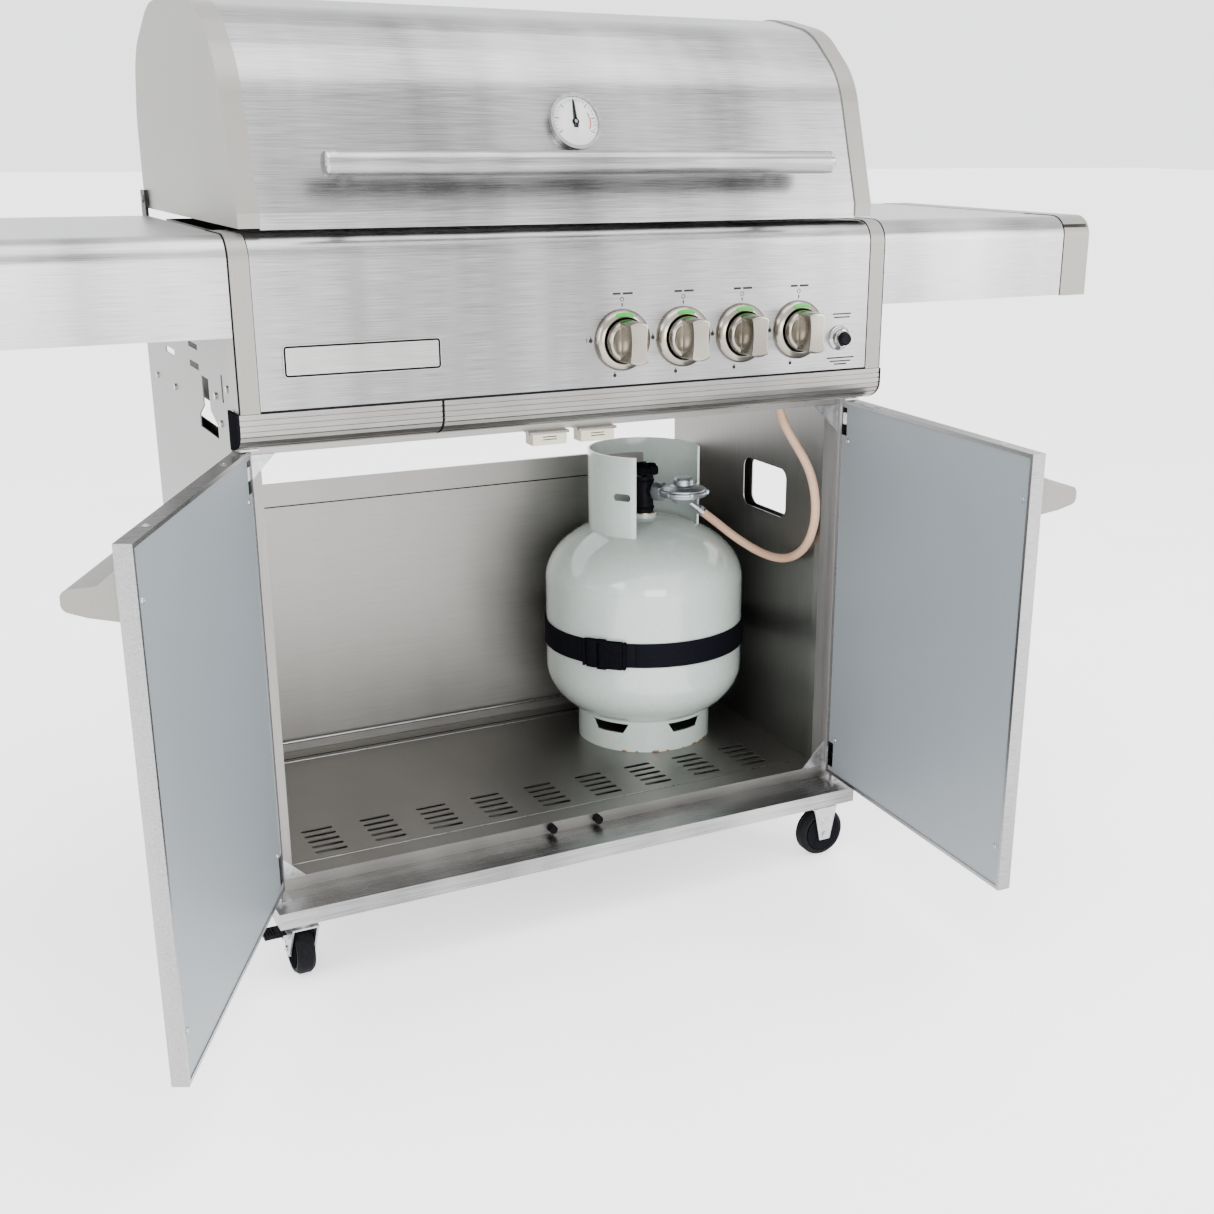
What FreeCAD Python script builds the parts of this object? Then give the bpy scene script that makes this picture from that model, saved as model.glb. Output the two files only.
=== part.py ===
import FreeCAD, Part

import math
import os

import Sketcher

# Gas barbecue grill on a wheeled cabinet, in millimetres.
# +X is the user's right, +Y points from the user to the back, +Z is up.
# The origin is on the ground, under the middle of the whole grill's box.
# Pieces are drawn with y = 0 on the cabinet's front plane, and every finished
# piece is then moved by the same frame shift.

SIZES = {
    # sheet metal
    "sheet": 1.5,
    "door_sheet": 1.2,
    "casting_wall": 3.0,
    # base and cabinet
    "base_underside": 94.0,
    "base_overhang": 2.5,
    "base_front": 65.0,
    "base_height": 22.0,
    "cabinet_width": 877.0,
    "cabinet_depth": 482.0,
    "wall_thickness": 17.5,
    "floor_rise": 16.3,
    "cabinet_opening": 561.7,
    "post_width": 33.5,
    "post_return": 14.0,
    "wall_above_rail": 11.0,
    "back_panel_inset": 52.0,
    "back_panel_height": 430.0,
    "back_hem_height": 33.0,
    "back_hem_depth": 5.5,
    "rail_height": 22.0,
    "rail_depth": 25.0,
    "gusset_leg": 40.0,
    "side_plate_drop": 25.0,
    "window_front": 122.0,
    "window_length": 126.0,
    "window_height": 76.0,
    "window_level": 366.0,
    "window_corner": 16.0,
    "slot_length": 44.5,
    "slot_width": 8.0,
    "slot_pitch": 18.0,
    "slot_group_pitch": 84.0,
    "slot_front": 58.0,
    "catch_width": 48.0,
    "catch_height": 15.0,
    "catch_reach": 12.0,
    "catch_spacing": 69.0,
    "bumper_radius": 6.0,
    "bumper_length": 11.5,
    "bumper_spacing": 71.4,
    # doors
    "hinge_inset": 5.5,
    "hinge_front": 22.0,
    "door_thickness": 18.6,
    "door_edge": 10.0,
    "door_gap": 4.0,
    "door_bottom_overlap": 5.3,
    "door_top_overlap": 10.0,
    "door_clearance": 5.0,
    "door_rim": 5.0,
    "left_door_open": 117.6,
    "right_door_open": 86.9,
    "door_handle_length": 170.0,
    "door_handle_height": 49.0,
    "door_handle_reach": 55.0,
    "door_handle_level": 52.0,
    "hinge_pin_radius": 3.5,
    "hinge_pin_travel": 12.0,
    "pin_clearance": 0.06,
    "pin_slot_width": 15.0,
    "pin_slot_height": 40.0,
    # front of the cooking head
    "head_front": 74.0,
    "panel_inset": 19.5,
    "panel_height": 197.0,
    "panel_bend": 28.0,
    "panel_top_depth": 20.0,
    "fascia_end_width": 23.0,
    "fascia_end_proud": 1.0,
    "fascia_end_depth": 46.0,
    "trim_height": 46.0,
    "trim_wall": 4.0,
    "trim_flat": 20.0,
    "trim_groove": 1.2,
    "trim_overhang": 4.5,
    "trim_split": 199.0,
    "trim_gap": 2.0,
    # side shelves
    "shelf_length": 319.0,
    "shelf_height": 111.0,
    "shelf_rear": 400.0,
    "shelf_cap_length": 47.0,
    # controls
    "knob_first": 43.0,
    "knob_pitch": 87.7,
    "knob_level": 58.5,
    "knob_radius": 27.0,
    "knob_disc": 14.0,
    "knob_reach": 49.0,
    "knob_grip": 26.0,
    "bezel_radius": 38.5,
    "bezel_bore": 28.2,
    "bezel_depth": 10.0,
    "stem_radius": 4.0,
    "stem_clearance": 0.05,
    "stem_travel": 4.0,
    "igniter_place": 373.0,
    "igniter_level": 44.0,
    "igniter_radius": 16.5,
    "igniter_button_radius": 8.5,
    "igniter_travel": 4.0,
    # gas train
    "manifold_radius": 10.0,
    "manifold_front": 28.0,
    "valve_radius": 12.0,
    "feed_pipe_radius": 3.0,
    "feed_pipe_step": 9.0,
    "inlet_place": 346.0,
    "inlet_depth": 38.0,
    "inlet_rise": 18.0,
    "hose_radius": 6.5,
    # cooking head
    "firebox_side_gap": 33.5,
    "firebox_front": 22.0,
    "firebox_rear_gap": 44.0,
    "firebox_lift": 4.0,
    "firebox_drop": 8.0,
    "firebox_wall": 2.0,
    "burner_width": 96.0,
    "burner_height": 46.0,
    "burner_pitch": 187.0,
    "tamer_width": 124.0,
    "tamer_rise": 18.0,
    "grate_bar": 8.0,
    "grate_height": 12.0,
    "grate_drop": 48.0,
    "tray_side_gap": 7.0,
    "tray_width": 186.0,
    "tray_length": 420.0,
    "tray_height": 34.0,
    # hood
    "hood_side_gap": 38.5,
    "hood_gap": 4.0,
    "hood_front": 60.0,
    "hood_rear_gap": 12.0,
    "hood_height": 258.0,
    "hood_wall": 2.0,
    "hood_end_width": 25.0,
    "hood_hinge_inset": 18.0,
    "hood_hinge_rise": 14.0,
    "hood_pin_radius": 5.0,
    "handle_radius": 14.0,
    "handle_inset": 70.0,
    "handle_reach": 52.0,
    "gauge_radius": 34.0,
    # gas cylinder
    "cylinder_radius": 156.5,
    "cylinder_side_gap": 13.5,
    "cylinder_back_gap": 6.0,
    "cylinder_straight": 141.0,
    "cylinder_head": 97.0,
    "cylinder_lift": 24.0,
    "cylinder_wall": 3.0,
    "foot_radius": 106.7,
    "collar_radius": 87.5,
    "collar_height": 467.0,
    "strap_gap": 0.4,
    "strap_thickness": 2.0,
    "strap_width": 38.0,
    "strap_level": 178.0,
    # casters
    "wheel_radius": 37.5,
    "wheel_width": 24.0,
    "axle_radius": 4.0,
    "axle_clearance": 0.08,
    "caster_plate": 60.0,
    "fork_gap": 3.0,
    "fork_plate": 2.5,
    "caster_inset": 33.5,
    "fixed_caster_front": 27.0,
    "swivel_front": 32.0,
    "caster_rear_gap": 64.0,
    "caster_trail": 22.0,
}


class Size:
    """A size that carries both its number and its spreadsheet expression."""

    def __init__(self, number, text):
        self.number = float(number)
        self.text = text

    def __add__(self, other):
        other = as_size(other)
        return Size(self.number + other.number, f"({self.text} + {other.text})")

    def __sub__(self, other):
        other = as_size(other)
        return Size(self.number - other.number, f"({self.text} - {other.text})")

    def __mul__(self, other):
        other = as_size(other)
        return Size(self.number * other.number, f"({self.text} * {other.text})")

    def __truediv__(self, other):
        other = as_size(other)
        return Size(self.number / other.number, f"({self.text} / {other.text})")

    def __radd__(self, other):
        return as_size(other) + self

    def __rsub__(self, other):
        return as_size(other) - self

    def __rmul__(self, other):
        return as_size(other) * self

    def __neg__(self):
        return Size(-self.number, f"(0 - {self.text})")


def as_size(value):
    if isinstance(value, Size):
        return value
    return Size(value, f"({float(value):.9g})" if value < 0 else f"{float(value):.9g}")


def sine(angle):
    return Size(math.sin(math.radians(angle.number)), f"sin({angle.text} * 1 deg)")


def cosine(angle):
    return Size(math.cos(math.radians(angle.number)), f"cos({angle.text} * 1 deg)")


class Measures:
    """The driving sizes, one attribute for each cell of the sheet."""


doc = FreeCAD.newDocument("gas_grill")
sheet = doc.addObject("Spreadsheet::Sheet", "Sizes")
size = Measures()
for row, (name, number) in enumerate(SIZES.items(), 1):
    sheet.set(f"A{row}", name)
    sheet.set(f"B{row}", str(number))
    sheet.setAlias(f"B{row}", name)
    setattr(size, name, Size(number, f"Sizes.{name}"))
doc.recompute()

# ---------------------------------------------------------------- drawing helpers

ORIGIN = -1
PLANES = {"XY": "XY_Plane", "XZ": "XZ_Plane", "YZ": "YZ_Plane"}
TURNS = {
    "Z": FreeCAD.Rotation(),
    "X": FreeCAD.Rotation(FreeCAD.Vector(0, 1, 0), 90),
    "Y": FreeCAD.Rotation(FreeCAD.Vector(1, 0, 0), -90),
}
nodes = []


def bind(thing, path, value):
    thing.setExpression(path, as_size(value).text)


def place(thing, x=0, y=0, z=0, turn=None):
    """Puts a feature at x, y, z, turned by a fixed rotation."""
    base = FreeCAD.Vector(as_size(x).number, as_size(y).number, as_size(z).number)
    thing.Placement = FreeCAD.Placement(base, turn or FreeCAD.Rotation())
    bind(thing, "Placement.Base.x", x)
    bind(thing, "Placement.Base.y", y)
    bind(thing, "Placement.Base.z", z)
    return thing


def box(x, y, z):
    """A block between two values on each axis."""
    solid = doc.addObject("Part::Box", "Block")
    bind(solid, "Length", x[1] - x[0])
    bind(solid, "Width", y[1] - y[0])
    bind(solid, "Height", z[1] - z[0])
    return place(solid, x[0], y[0], z[0])


def rod(axis, radius, low, high, x=0, y=0, z=0, sweep=360):
    """A cylinder along an axis from low to high; the other two values place it."""
    solid = doc.addObject("Part::Cylinder", "Rod")
    bind(solid, "Radius", radius)
    bind(solid, "Height", high - low)
    solid.Angle = sweep
    spot = {"x": x, "y": y, "z": z}
    spot[axis.lower()] = low
    return place(solid, turn=TURNS[axis], **spot)


def ball(radius, x, y, z):
    solid = doc.addObject("Part::Sphere", "Ball")
    bind(solid, "Radius", radius)
    return place(solid, x, y, z)


def fuse(*pieces):
    solid = doc.addObject("Part::MultiFuse", "Joined")
    solid.Shapes = list(pieces)
    solid.Refine = True
    return solid


def group(*pieces):
    solid = doc.addObject("Part::Compound", "Set")
    solid.Links = list(pieces)
    return solid


def cut(piece, *tools):
    solid = doc.addObject("Part::Cut", "Cut")
    solid.Base = piece
    solid.Tool = tools[0] if len(tools) == 1 else fuse(*tools)
    return solid


def common(piece, other):
    solid = doc.addObject("Part::Common", "Common")
    solid.Base = piece
    solid.Tool = other
    return solid


def new_sketch(plane, offset):
    """A body with a sketch on one of its origin planes, moved along its normal."""
    body = doc.addObject("PartDesign::Body", "Body")
    sketch = body.newObject("Sketcher::SketchObject", "Outline")
    for feature in body.Origin.OriginFeatures:
        if feature.Role == PLANES[plane]:
            sketch.AttachmentSupport = [(feature, "")]
    sketch.MapMode = "FlatFace"
    bind(sketch, "AttachmentOffset.Base.z", offset)
    return body, sketch


def draw_outline(sketch, points):
    """Closes the points into one outline, each point held by two sizes."""
    spots = [(as_size(u), as_size(v)) for u, v in points]
    flat = [FreeCAD.Vector(u.number, v.number, 0) for u, v in spots]
    first = sketch.GeometryCount
    for index, spot in enumerate(flat):
        following = flat[(index + 1) % len(flat)]
        sketch.addGeometry(Part.LineSegment(spot, following))
    for index, (u, v) in enumerate(spots):
        line = first + index
        previous = first + (index - 1) % len(spots)
        sketch.addConstraint(Sketcher.Constraint("Coincident", previous, 2, line, 1))
        across = sketch.addConstraint(
            Sketcher.Constraint("DistanceX", ORIGIN, 1, line, 1, u.number))
        bind(sketch, f"Constraints[{across}]", u)
        up = sketch.addConstraint(
            Sketcher.Constraint("DistanceY", ORIGIN, 1, line, 1, v.number))
        bind(sketch, f"Constraints[{up}]", v)


def flat_spot(plane, point):
    return {"XY": (point.x, point.y), "XZ": (point.x, point.z), "YZ": (point.y, point.z)}[plane]


def round_corners(body, feature, plane, corners, radius):
    """Fillets the pad's long edges that run through the given outline corners."""
    doc.recompute()
    wanted = [(as_size(u).number, as_size(v).number) for u, v in corners]
    names = []
    for number, edge in enumerate(feature.Shape.Edges, 1):
        start, stop = (flat_spot(plane, vertex.Point) for vertex in
                       (edge.Vertexes[0], edge.Vertexes[-1]))
        for corner in wanted:
            if math.dist(start, corner) < 0.01 and math.dist(stop, corner) < 0.01:
                names.append(f"Edge{number}")
    fillet = body.newObject("PartDesign::Fillet", "Bend")
    fillet.Base = (feature, names)
    bind(fillet, "Radius", radius)
    body.Tip = fillet
    return fillet


def profile(plane, points, low, high, rounds=()):
    """An outline extruded from low to high along the plane's normal axis.

    rounds lists (radius, corner, corner, ...), each corner one of the points.
    """
    backwards = plane == "XZ"
    body, sketch = new_sketch(plane, -as_size(high) if backwards else as_size(low))
    draw_outline(sketch, points)
    pad = body.newObject("PartDesign::Pad", "Pad")
    pad.Profile = sketch
    bind(pad, "Length", as_size(high) - low)
    feature = pad
    for radius, *corners in rounds:
        feature = round_corners(body, feature, plane, corners, radius)
    return body


def turned(points):
    """An outline of (radius, height) points turned about the body's own Z axis."""
    body, sketch = new_sketch("XZ", 0)
    draw_outline(sketch, points)
    revolution = body.newObject("PartDesign::Revolution", "Turned")
    revolution.Profile = sketch
    revolution.ReferenceAxis = (sketch, ["V_Axis"])
    revolution.Angle = 360
    return body


def add_slot(sketch, centre_x, centre_y, length, width):
    """A round-ended slot along X in a sketch, held by its centres and radius."""
    radius = width / 2
    left = as_size(centre_x) - (length - width) / 2
    right = as_size(centre_x) + (length - width) / 2
    level = as_size(centre_y)
    up = FreeCAD.Vector(0, 0, 1)
    first = sketch.GeometryCount
    low = level.number - radius.number
    high = level.number + radius.number
    corner = FreeCAD.Vector
    sketch.addGeometry(Part.LineSegment(corner(left.number, low, 0), corner(right.number, low, 0)))
    turn = Part.Circle(corner(right.number, level.number, 0), up, radius.number)
    sketch.addGeometry(Part.ArcOfCircle(turn, -math.pi / 2, math.pi / 2))
    sketch.addGeometry(Part.LineSegment(corner(right.number, high, 0), corner(left.number, high, 0)))
    turn = Part.Circle(corner(left.number, level.number, 0), up, radius.number)
    sketch.addGeometry(Part.ArcOfCircle(turn, math.pi / 2, 3 * math.pi / 2))
    for here, end, there, start in ((0, 2, 1, 1), (1, 2, 2, 1), (2, 2, 3, 1), (3, 2, 0, 1)):
        sketch.addConstraint(
            Sketcher.Constraint("Tangent", first + here, end, first + there, start))
    for arc, centre in ((1, right), (3, left)):
        for kind, value in (("DistanceX", centre), ("DistanceY", level)):
            rule = sketch.addConstraint(
                Sketcher.Constraint(kind, ORIGIN, 1, first + arc, 3, value.number))
            bind(sketch, f"Constraints[{rule}]", value)
    rule = sketch.addConstraint(Sketcher.Constraint("Radius", first + 1, radius.number))
    bind(sketch, f"Constraints[{rule}]", radius)


def mirror_span(side, low, high):
    """A span of X on the right side, or the same span on the left."""
    if side > 0:
        return (as_size(low), as_size(high))
    return (-as_size(high), -as_size(low))


def finish(name, *pieces, x=0, y=0, angle=None):
    """Names a finished sub-part and moves it into the grill's frame."""
    whole = group(*pieces)
    whole.Label = name
    place(whole, x, as_size(y) + frame_shift, 0)
    if angle is not None:
        whole.Placement = FreeCAD.Placement(
            whole.Placement.Base, FreeCAD.Rotation(FreeCAD.Vector(0, 0, 1), angle.number))
        bind(whole, "Placement.Rotation.Angle", angle)
    nodes.append(whole)
    return whole


SIDES = (1, -1)

# ---------------------------------------------------------------- shared levels

base_top = size.base_underside + size.base_height
floor_top = base_top + size.floor_rise
rail_low = floor_top + size.cabinet_opening
rail_high = rail_low + size.rail_height
wall_top = rail_low + size.wall_above_rail
door_low = floor_top - size.door_bottom_overlap
door_high = rail_low + size.door_top_overlap
trim_low = door_high + size.door_clearance
trim_high = trim_low + size.trim_height
panel_low = trim_high + 1
panel_high = panel_low + size.panel_height
outer_wall = size.cabinet_width / 2
inner_wall = outer_wall - size.wall_thickness
hinge_side = outer_wall - size.hinge_inset
door_reach = hinge_side - size.door_gap / 2
half_door = size.door_thickness / 2
panel_half = outer_wall - size.panel_inset
fascia_half = panel_half + size.fascia_end_width
shelf_end = fascia_half + size.shelf_length
base_half = outer_wall + size.base_overhang
back_panel_front = size.cabinet_depth - size.back_panel_inset
side_plate_top = panel_high - size.side_plate_drop
trim_half = outer_wall + size.trim_overhang
firebox_half = outer_wall - size.firebox_side_gap
firebox_rear = size.cabinet_depth - size.firebox_rear_gap
firebox_bottom = panel_low + size.firebox_lift
firebox_top = panel_high - size.firebox_drop
grate_level = panel_high - size.grate_drop
tray_left = firebox_half - size.tray_side_gap
hood_low = panel_high + size.hood_gap
hood_half = outer_wall - size.hood_side_gap
hood_rear = size.cabinet_depth - size.hood_rear_gap
hood_hinge_y = hood_rear - size.hood_hinge_inset
hood_hinge_z = hood_low + size.hood_hinge_rise
handle_half = hood_half - size.handle_inset
cylinder_x = inner_wall - size.cylinder_side_gap - size.cylinder_radius
cylinder_y = back_panel_front - size.cylinder_back_gap - size.cylinder_radius
caster_side = outer_wall - size.caster_inset
caster_rear = size.cabinet_depth - size.caster_rear_gap
inlet_level = rail_low + size.inlet_rise
knob_height = panel_low + size.knob_level
panel_back = -size.head_front + size.sheet

# the open right door reaches furthest forward, the side walls furthest back
door_front = size.hinge_front + door_reach * sine(size.right_door_open) \
    + half_door * cosine(size.right_door_open)
frame_shift = (door_front - size.cabinet_depth) / 2

# ---------------------------------------------------------------- base and cabinet


def base_tray():
    half = base_half
    rear = size.cabinet_depth
    skin = size.sheet
    outer = box((-half, half), (-size.base_front, rear), (size.base_underside, base_top))
    inner = box((-half + skin, half - skin), (-size.base_front + skin, rear - skin),
                (size.base_underside - skin, base_top - skin))
    finish("base_tray", cut(outer, inner))


def cabinet_floor():
    """Folded floor: a front lip down to the base, and nine groups of five vent slots."""
    skin = size.sheet
    rear = back_panel_front - skin
    body, sketch = new_sketch("YZ", -inner_wall)
    draw_outline(sketch, [
        (0, base_top), (0, floor_top), (rear, floor_top), (rear, floor_top - skin),
        (skin, floor_top - skin), (skin, base_top)])
    pad = body.newObject("PartDesign::Pad", "Fold")
    pad.Profile = sketch
    bind(pad, "Length", inner_wall * 2)
    slots = body.newObject("Sketcher::SketchObject", "SlotGroup")
    for feature in body.Origin.OriginFeatures:
        if feature.Role == "XY_Plane":
            slots.AttachmentSupport = [(feature, "")]
    slots.MapMode = "FlatFace"
    bind(slots, "AttachmentOffset.Base.z", floor_top)
    groups_each_side = 4
    slots_in_group = 5
    for index in range(slots_in_group):
        add_slot(slots, -size.slot_group_pitch * groups_each_side,
                 size.slot_front + size.slot_pitch * index, size.slot_length, size.slot_width)
    doc.recompute()
    before = pad.Shape.Volume
    pocket = body.newObject("PartDesign::Pocket", "Vents")
    pocket.Profile = slots
    bind(pocket, "Length", skin * 2)
    doc.recompute()
    pattern = body.newObject("PartDesign::LinearPattern", "VentGroups")
    pattern.Originals = [pocket]
    pattern.Direction = (slots, ["H_Axis"])
    bind(pattern, "Length", size.slot_group_pitch * groups_each_side * 2)
    pattern.Occurrences = groups_each_side * 2 + 1
    body.Tip = pattern
    doc.recompute()
    if pattern.Shape.Volume > before - 40 * skin.number * size.slot_length.number:
        raise ValueError("the vent slots are not cut")
    finish("cabinet_floor", body)


def side_walls():
    """Double-skinned side walls, open at top and bottom, with a hand window."""
    skin = size.sheet
    low, high = size.window_front, size.window_front + size.window_length
    sill = floor_top + size.window_level
    head = sill + size.window_height
    window_corners = [(low, sill), (high, sill), (high, head), (low, head)]
    walls = []
    for side in SIDES:
        outer = box(mirror_span(side, inner_wall, outer_wall), (0, size.cabinet_depth),
                    (base_top, wall_top))
        inner = box(mirror_span(side, inner_wall + skin, outer_wall - skin),
                    (skin, size.cabinet_depth - skin), (base_top - skin, wall_top + skin))
        post = box(mirror_span(side, outer_wall - size.post_width, inner_wall),
                   (0, skin), (floor_top, rail_low))
        lip = box(mirror_span(side, outer_wall - size.post_width,
                              outer_wall - size.post_width + skin),
                  (0, size.post_return), (floor_top, rail_low))
        near, far = mirror_span(side, inner_wall - skin, outer_wall + skin)
        window = profile("YZ", window_corners, near, far,
                         [(size.window_corner, *window_corners)])
        walls.append(cut(fuse(outer, post, lip), inner, window))
    finish("side_walls", *walls)


def upper_side_plates():
    """Single plates beside the cooking head, with vents and a keyhole for the pipework."""
    skin = size.sheet
    front = -(size.head_front - size.fascia_end_depth) + 1
    # each vent's front, rear, lower and upper edge, the last two above the wall's top
    vents = [(291, 346, 72, 80), (144, 196, 97, 104), (144, 196, 72, 80), (18, 26, 50, 83)]
    key_front, key_rear, neck_front, neck_rear = 61, 160, 96, 133
    below, shoulder, neck_low, key_top = wall_top - 1, wall_top + 16, wall_top + 30, wall_top + 68
    plates = []
    for side in SIDES:
        span = mirror_span(side, outer_wall - skin, outer_wall)
        through = mirror_span(side, outer_wall - 2 * skin, outer_wall + skin)
        plate = box(span, (front, size.cabinet_depth), (wall_top, side_plate_top))
        slots = [box(through, (start, stop), (wall_top + low, wall_top + high))
                 for start, stop, low, high in vents]
        key = profile("YZ", [
            (key_front, below), (key_rear, below), (key_rear, shoulder), (neck_rear, neck_low),
            (neck_rear, key_top), (neck_front, key_top), (neck_front, neck_low),
            (key_front, shoulder)], *through)
        plates.append(cut(plate, *slots, key))
    finish("upper_side_plates", *plates)


def back_panel():
    """Low back panel with a folded hem; the space above it is open."""
    skin = size.sheet
    front = back_panel_front
    top = floor_top + size.back_panel_height
    half = inner_wall
    flat = box((-half, half), (front, front + skin), (base_top, top))
    hem_front = front - size.back_hem_depth
    cap = box((-half, half), (hem_front, front), (top - skin, top))
    face = box((-half, half), (hem_front, hem_front + skin), (top - size.back_hem_height, top))
    finish("back_panel", fuse(flat, cap, face))


def front_rail():
    """Channel across the front above the doors, with two small screw holes."""
    skin = size.sheet
    half = inner_wall
    outer = box((-half, half), (0, size.rail_depth), (rail_low, rail_high))
    inner = box((-half - 1, half + 1), (skin, size.rail_depth + 1),
                (rail_low + skin, rail_high - skin))
    hole_radius, hole_rise = 2.5, 8
    hole_places = (274, 372)
    holes = [rod("Y", hole_radius, -1, 3, x=across, z=rail_low + hole_rise) for across in hole_places]
    finish("front_rail", cut(outer, inner, *holes))


def cabinet_brackets():
    """Corner gussets of the front opening, and the plates that carry the doors' pins."""
    skin = size.sheet
    pieces = []
    post_edge = outer_wall - size.post_width / 3
    leg = size.gusset_leg
    plate_half = 14
    foot_inside, head_inside = 16, 18
    boss_radius, pin_engagement = 8, 14
    foot_thickness, head_thickness, head_clearance = 2, 2.5, 1.5
    for side in SIDES:
        for level, rise in ((rail_low, -1), (floor_top, 1)):
            corners = [(side * (post_edge - leg), level), (side * post_edge, level),
                       (side * post_edge, level + rise * leg)]
            pieces.append(profile("XZ", corners, -skin, 0))
        foot = box(mirror_span(side, hinge_side - foot_inside, base_half),
                   (-size.hinge_front - plate_half, -size.hinge_front + plate_half),
                   (base_top, base_top + foot_thickness))
        pivot = {"x": side * hinge_side, "y": -size.hinge_front}
        boss = rod("Z", boss_radius, base_top, door_low - 1, **pivot)
        pin = rod("Z", size.hinge_pin_radius, base_top, door_low + pin_engagement, **pivot)
        pieces.append(fuse(foot, boss, pin))
        head_low = door_high + head_clearance
        plate = box(mirror_span(side, hinge_side - head_inside, outer_wall - skin),
                    (-size.hinge_front - plate_half, 0), (head_low, head_low + head_thickness))
        hole = rod("Z", size.hinge_pin_radius + size.pin_clearance, door_high, door_high + 5, **pivot)
        pieces.append(cut(plate, hole))
    finish("cabinet_brackets", *pieces)


def magnetic_catches():
    """Two catches hung under the rail, one for each door."""
    pieces = []
    offset, strap_thickness, strap_overhang = 3, 3, 3
    body_top = rail_low - strap_thickness
    half = size.catch_width / 2
    for centre in (offset - size.catch_spacing / 2, offset + size.catch_spacing / 2):
        body = box((centre - half, centre + half), (-size.catch_reach, size.catch_reach),
                   (body_top - size.catch_height, body_top))
        strap = box((centre - half - strap_overhang, centre + half + strap_overhang),
                    (1 - size.catch_reach, size.catch_reach), (body_top, rail_low))
        pieces.append(fuse(body, strap))
    finish("magnetic_catches", *pieces)


def door_bumpers():
    level = floor_top - size.bumper_radius - 1
    finish("door_bumpers", *[
        rod("Y", size.bumper_radius, -size.bumper_length, 0,
            x=side * size.bumper_spacing / 2, z=level) for side in SIDES])


# ---------------------------------------------------------------- doors


def door(name, side, opening):
    """A folded door skin, its inset liner, its pull, and the sprung top hinge pin.

    Drawn closed, about its hinge line, then turned open.
    """
    skin = size.door_sheet
    rim = size.door_rim
    closed = -side
    edge = size.door_edge
    reach = door_reach

    def across(low, high):
        return mirror_span(closed, low, high)

    pin_hole_radius = size.hinge_pin_radius + size.pin_clearance
    where = {"x": side * hinge_side, "y": -size.hinge_front, "angle": opening}
    shell = box(across(-edge, reach), (-half_door, half_door), (door_low, door_high))
    hollow = box(across(-edge + skin, reach - skin), (-half_door + skin, half_door - skin),
                 (door_low + skin, door_high - skin))
    mouth = box(across(-edge + rim, reach - rim), (half_door - 2 * skin, half_door + skin),
                (door_low + rim, door_high - rim))
    pin_holes = [
        rod("Z", pin_hole_radius, door_low - 1, door_low + 3),
        rod("Z", pin_hole_radius, door_high - 3, door_high + 1)]
    finish(f"{name}_door_skin", cut(shell, hollow, mouth, *pin_holes), **where)

    liner_back = half_door - 2 * skin
    liner = box(across(-edge + skin, reach - skin), (liner_back, half_door - skin),
                (door_low + skin, door_high - skin))
    slot = size.pin_slot_width / 2
    slot_inset = rim + 6
    slot_top, slot_low = door_high - slot_inset, door_low + slot_inset
    top_slot = box(across(-slot, slot), (liner_back - 1, half_door),
                   (slot_top - size.pin_slot_height, slot_top))
    low_slot = box(across(-slot, slot), (liner_back - 1, half_door),
                   (slot_low, slot_low + size.pin_slot_height))
    finish(f"{name}_door_liner", cut(liner, top_slot, low_slot), **where)

    level = door_high - size.door_handle_level
    half_pull = size.door_handle_height / 2
    root = -half_door
    nose = root - size.door_handle_reach
    pull_far = reach - 4
    pull_near = pull_far - size.door_handle_length
    low_x, high_x = across(pull_near, pull_far)
    nose_top = (nose, level + 6)
    nose_low = (nose, level - 14)
    pull = profile("YZ", [
        (root, level - half_pull), (root, level + half_pull), (root - 20, level + half_pull - 14),
        nose_top, nose_low, (root - 30, level - half_pull + 4)],
        low_x, high_x, [(9, nose_top, nose_low)])
    finish(f"{name}_door_handle", pull, **where)

    pin_rise, slot_spare = 6, 4
    thumb_half, thumb_height, bridge_half, bridge_height = 4, 16, 3, 10
    pin_low = slot_top - size.pin_slot_height + size.hinge_pin_travel + slot_spare
    pin = rod("Z", size.hinge_pin_radius, pin_low, door_high + pin_rise)
    thumb = box(across(-thumb_half, thumb_half), (liner_back - 4, liner_back + 1),
                (pin_low, pin_low + thumb_height))
    bridge = box(across(-bridge_half, bridge_half), (0, liner_back - 3),
                 (pin_low, pin_low + bridge_height))
    finish(f"{name}_hinge_pin", fuse(pin, bridge, thumb), **where)


# ---------------------------------------------------------------- front of the head


def control_panel():
    """Folded fascia with a rounded top bend and holes for the taps and the igniter."""
    skin = size.sheet
    front, back = -size.head_front, size.panel_top_depth
    lip = front + 24
    tap_hole_radius, igniter_hole_radius = 7, 10
    outer_corner = (front, panel_high)
    inner_corner = (front + skin, panel_high - skin)
    sheet_body = profile("YZ", [
        (front, panel_low), outer_corner, (back, panel_high), (back, panel_high - skin),
        inner_corner, (front + skin, panel_low + skin), (lip, panel_low + skin),
        (lip, panel_low)],
        -panel_half, panel_half,
        [(size.panel_bend, outer_corner), (size.panel_bend - skin, inner_corner)])
    holes = [rod("Y", tap_hole_radius, front - 1, front + 4, x=knob_place(index), z=knob_height)
             for index in range(4)]
    holes.append(rod("Y", igniter_hole_radius, front - 1, front + 4, x=size.igniter_place,
                     z=panel_low + size.igniter_level))
    finish("control_panel", cut(sheet_body, *holes))


def knob_place(index):
    return size.knob_first + size.knob_pitch * index


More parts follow.
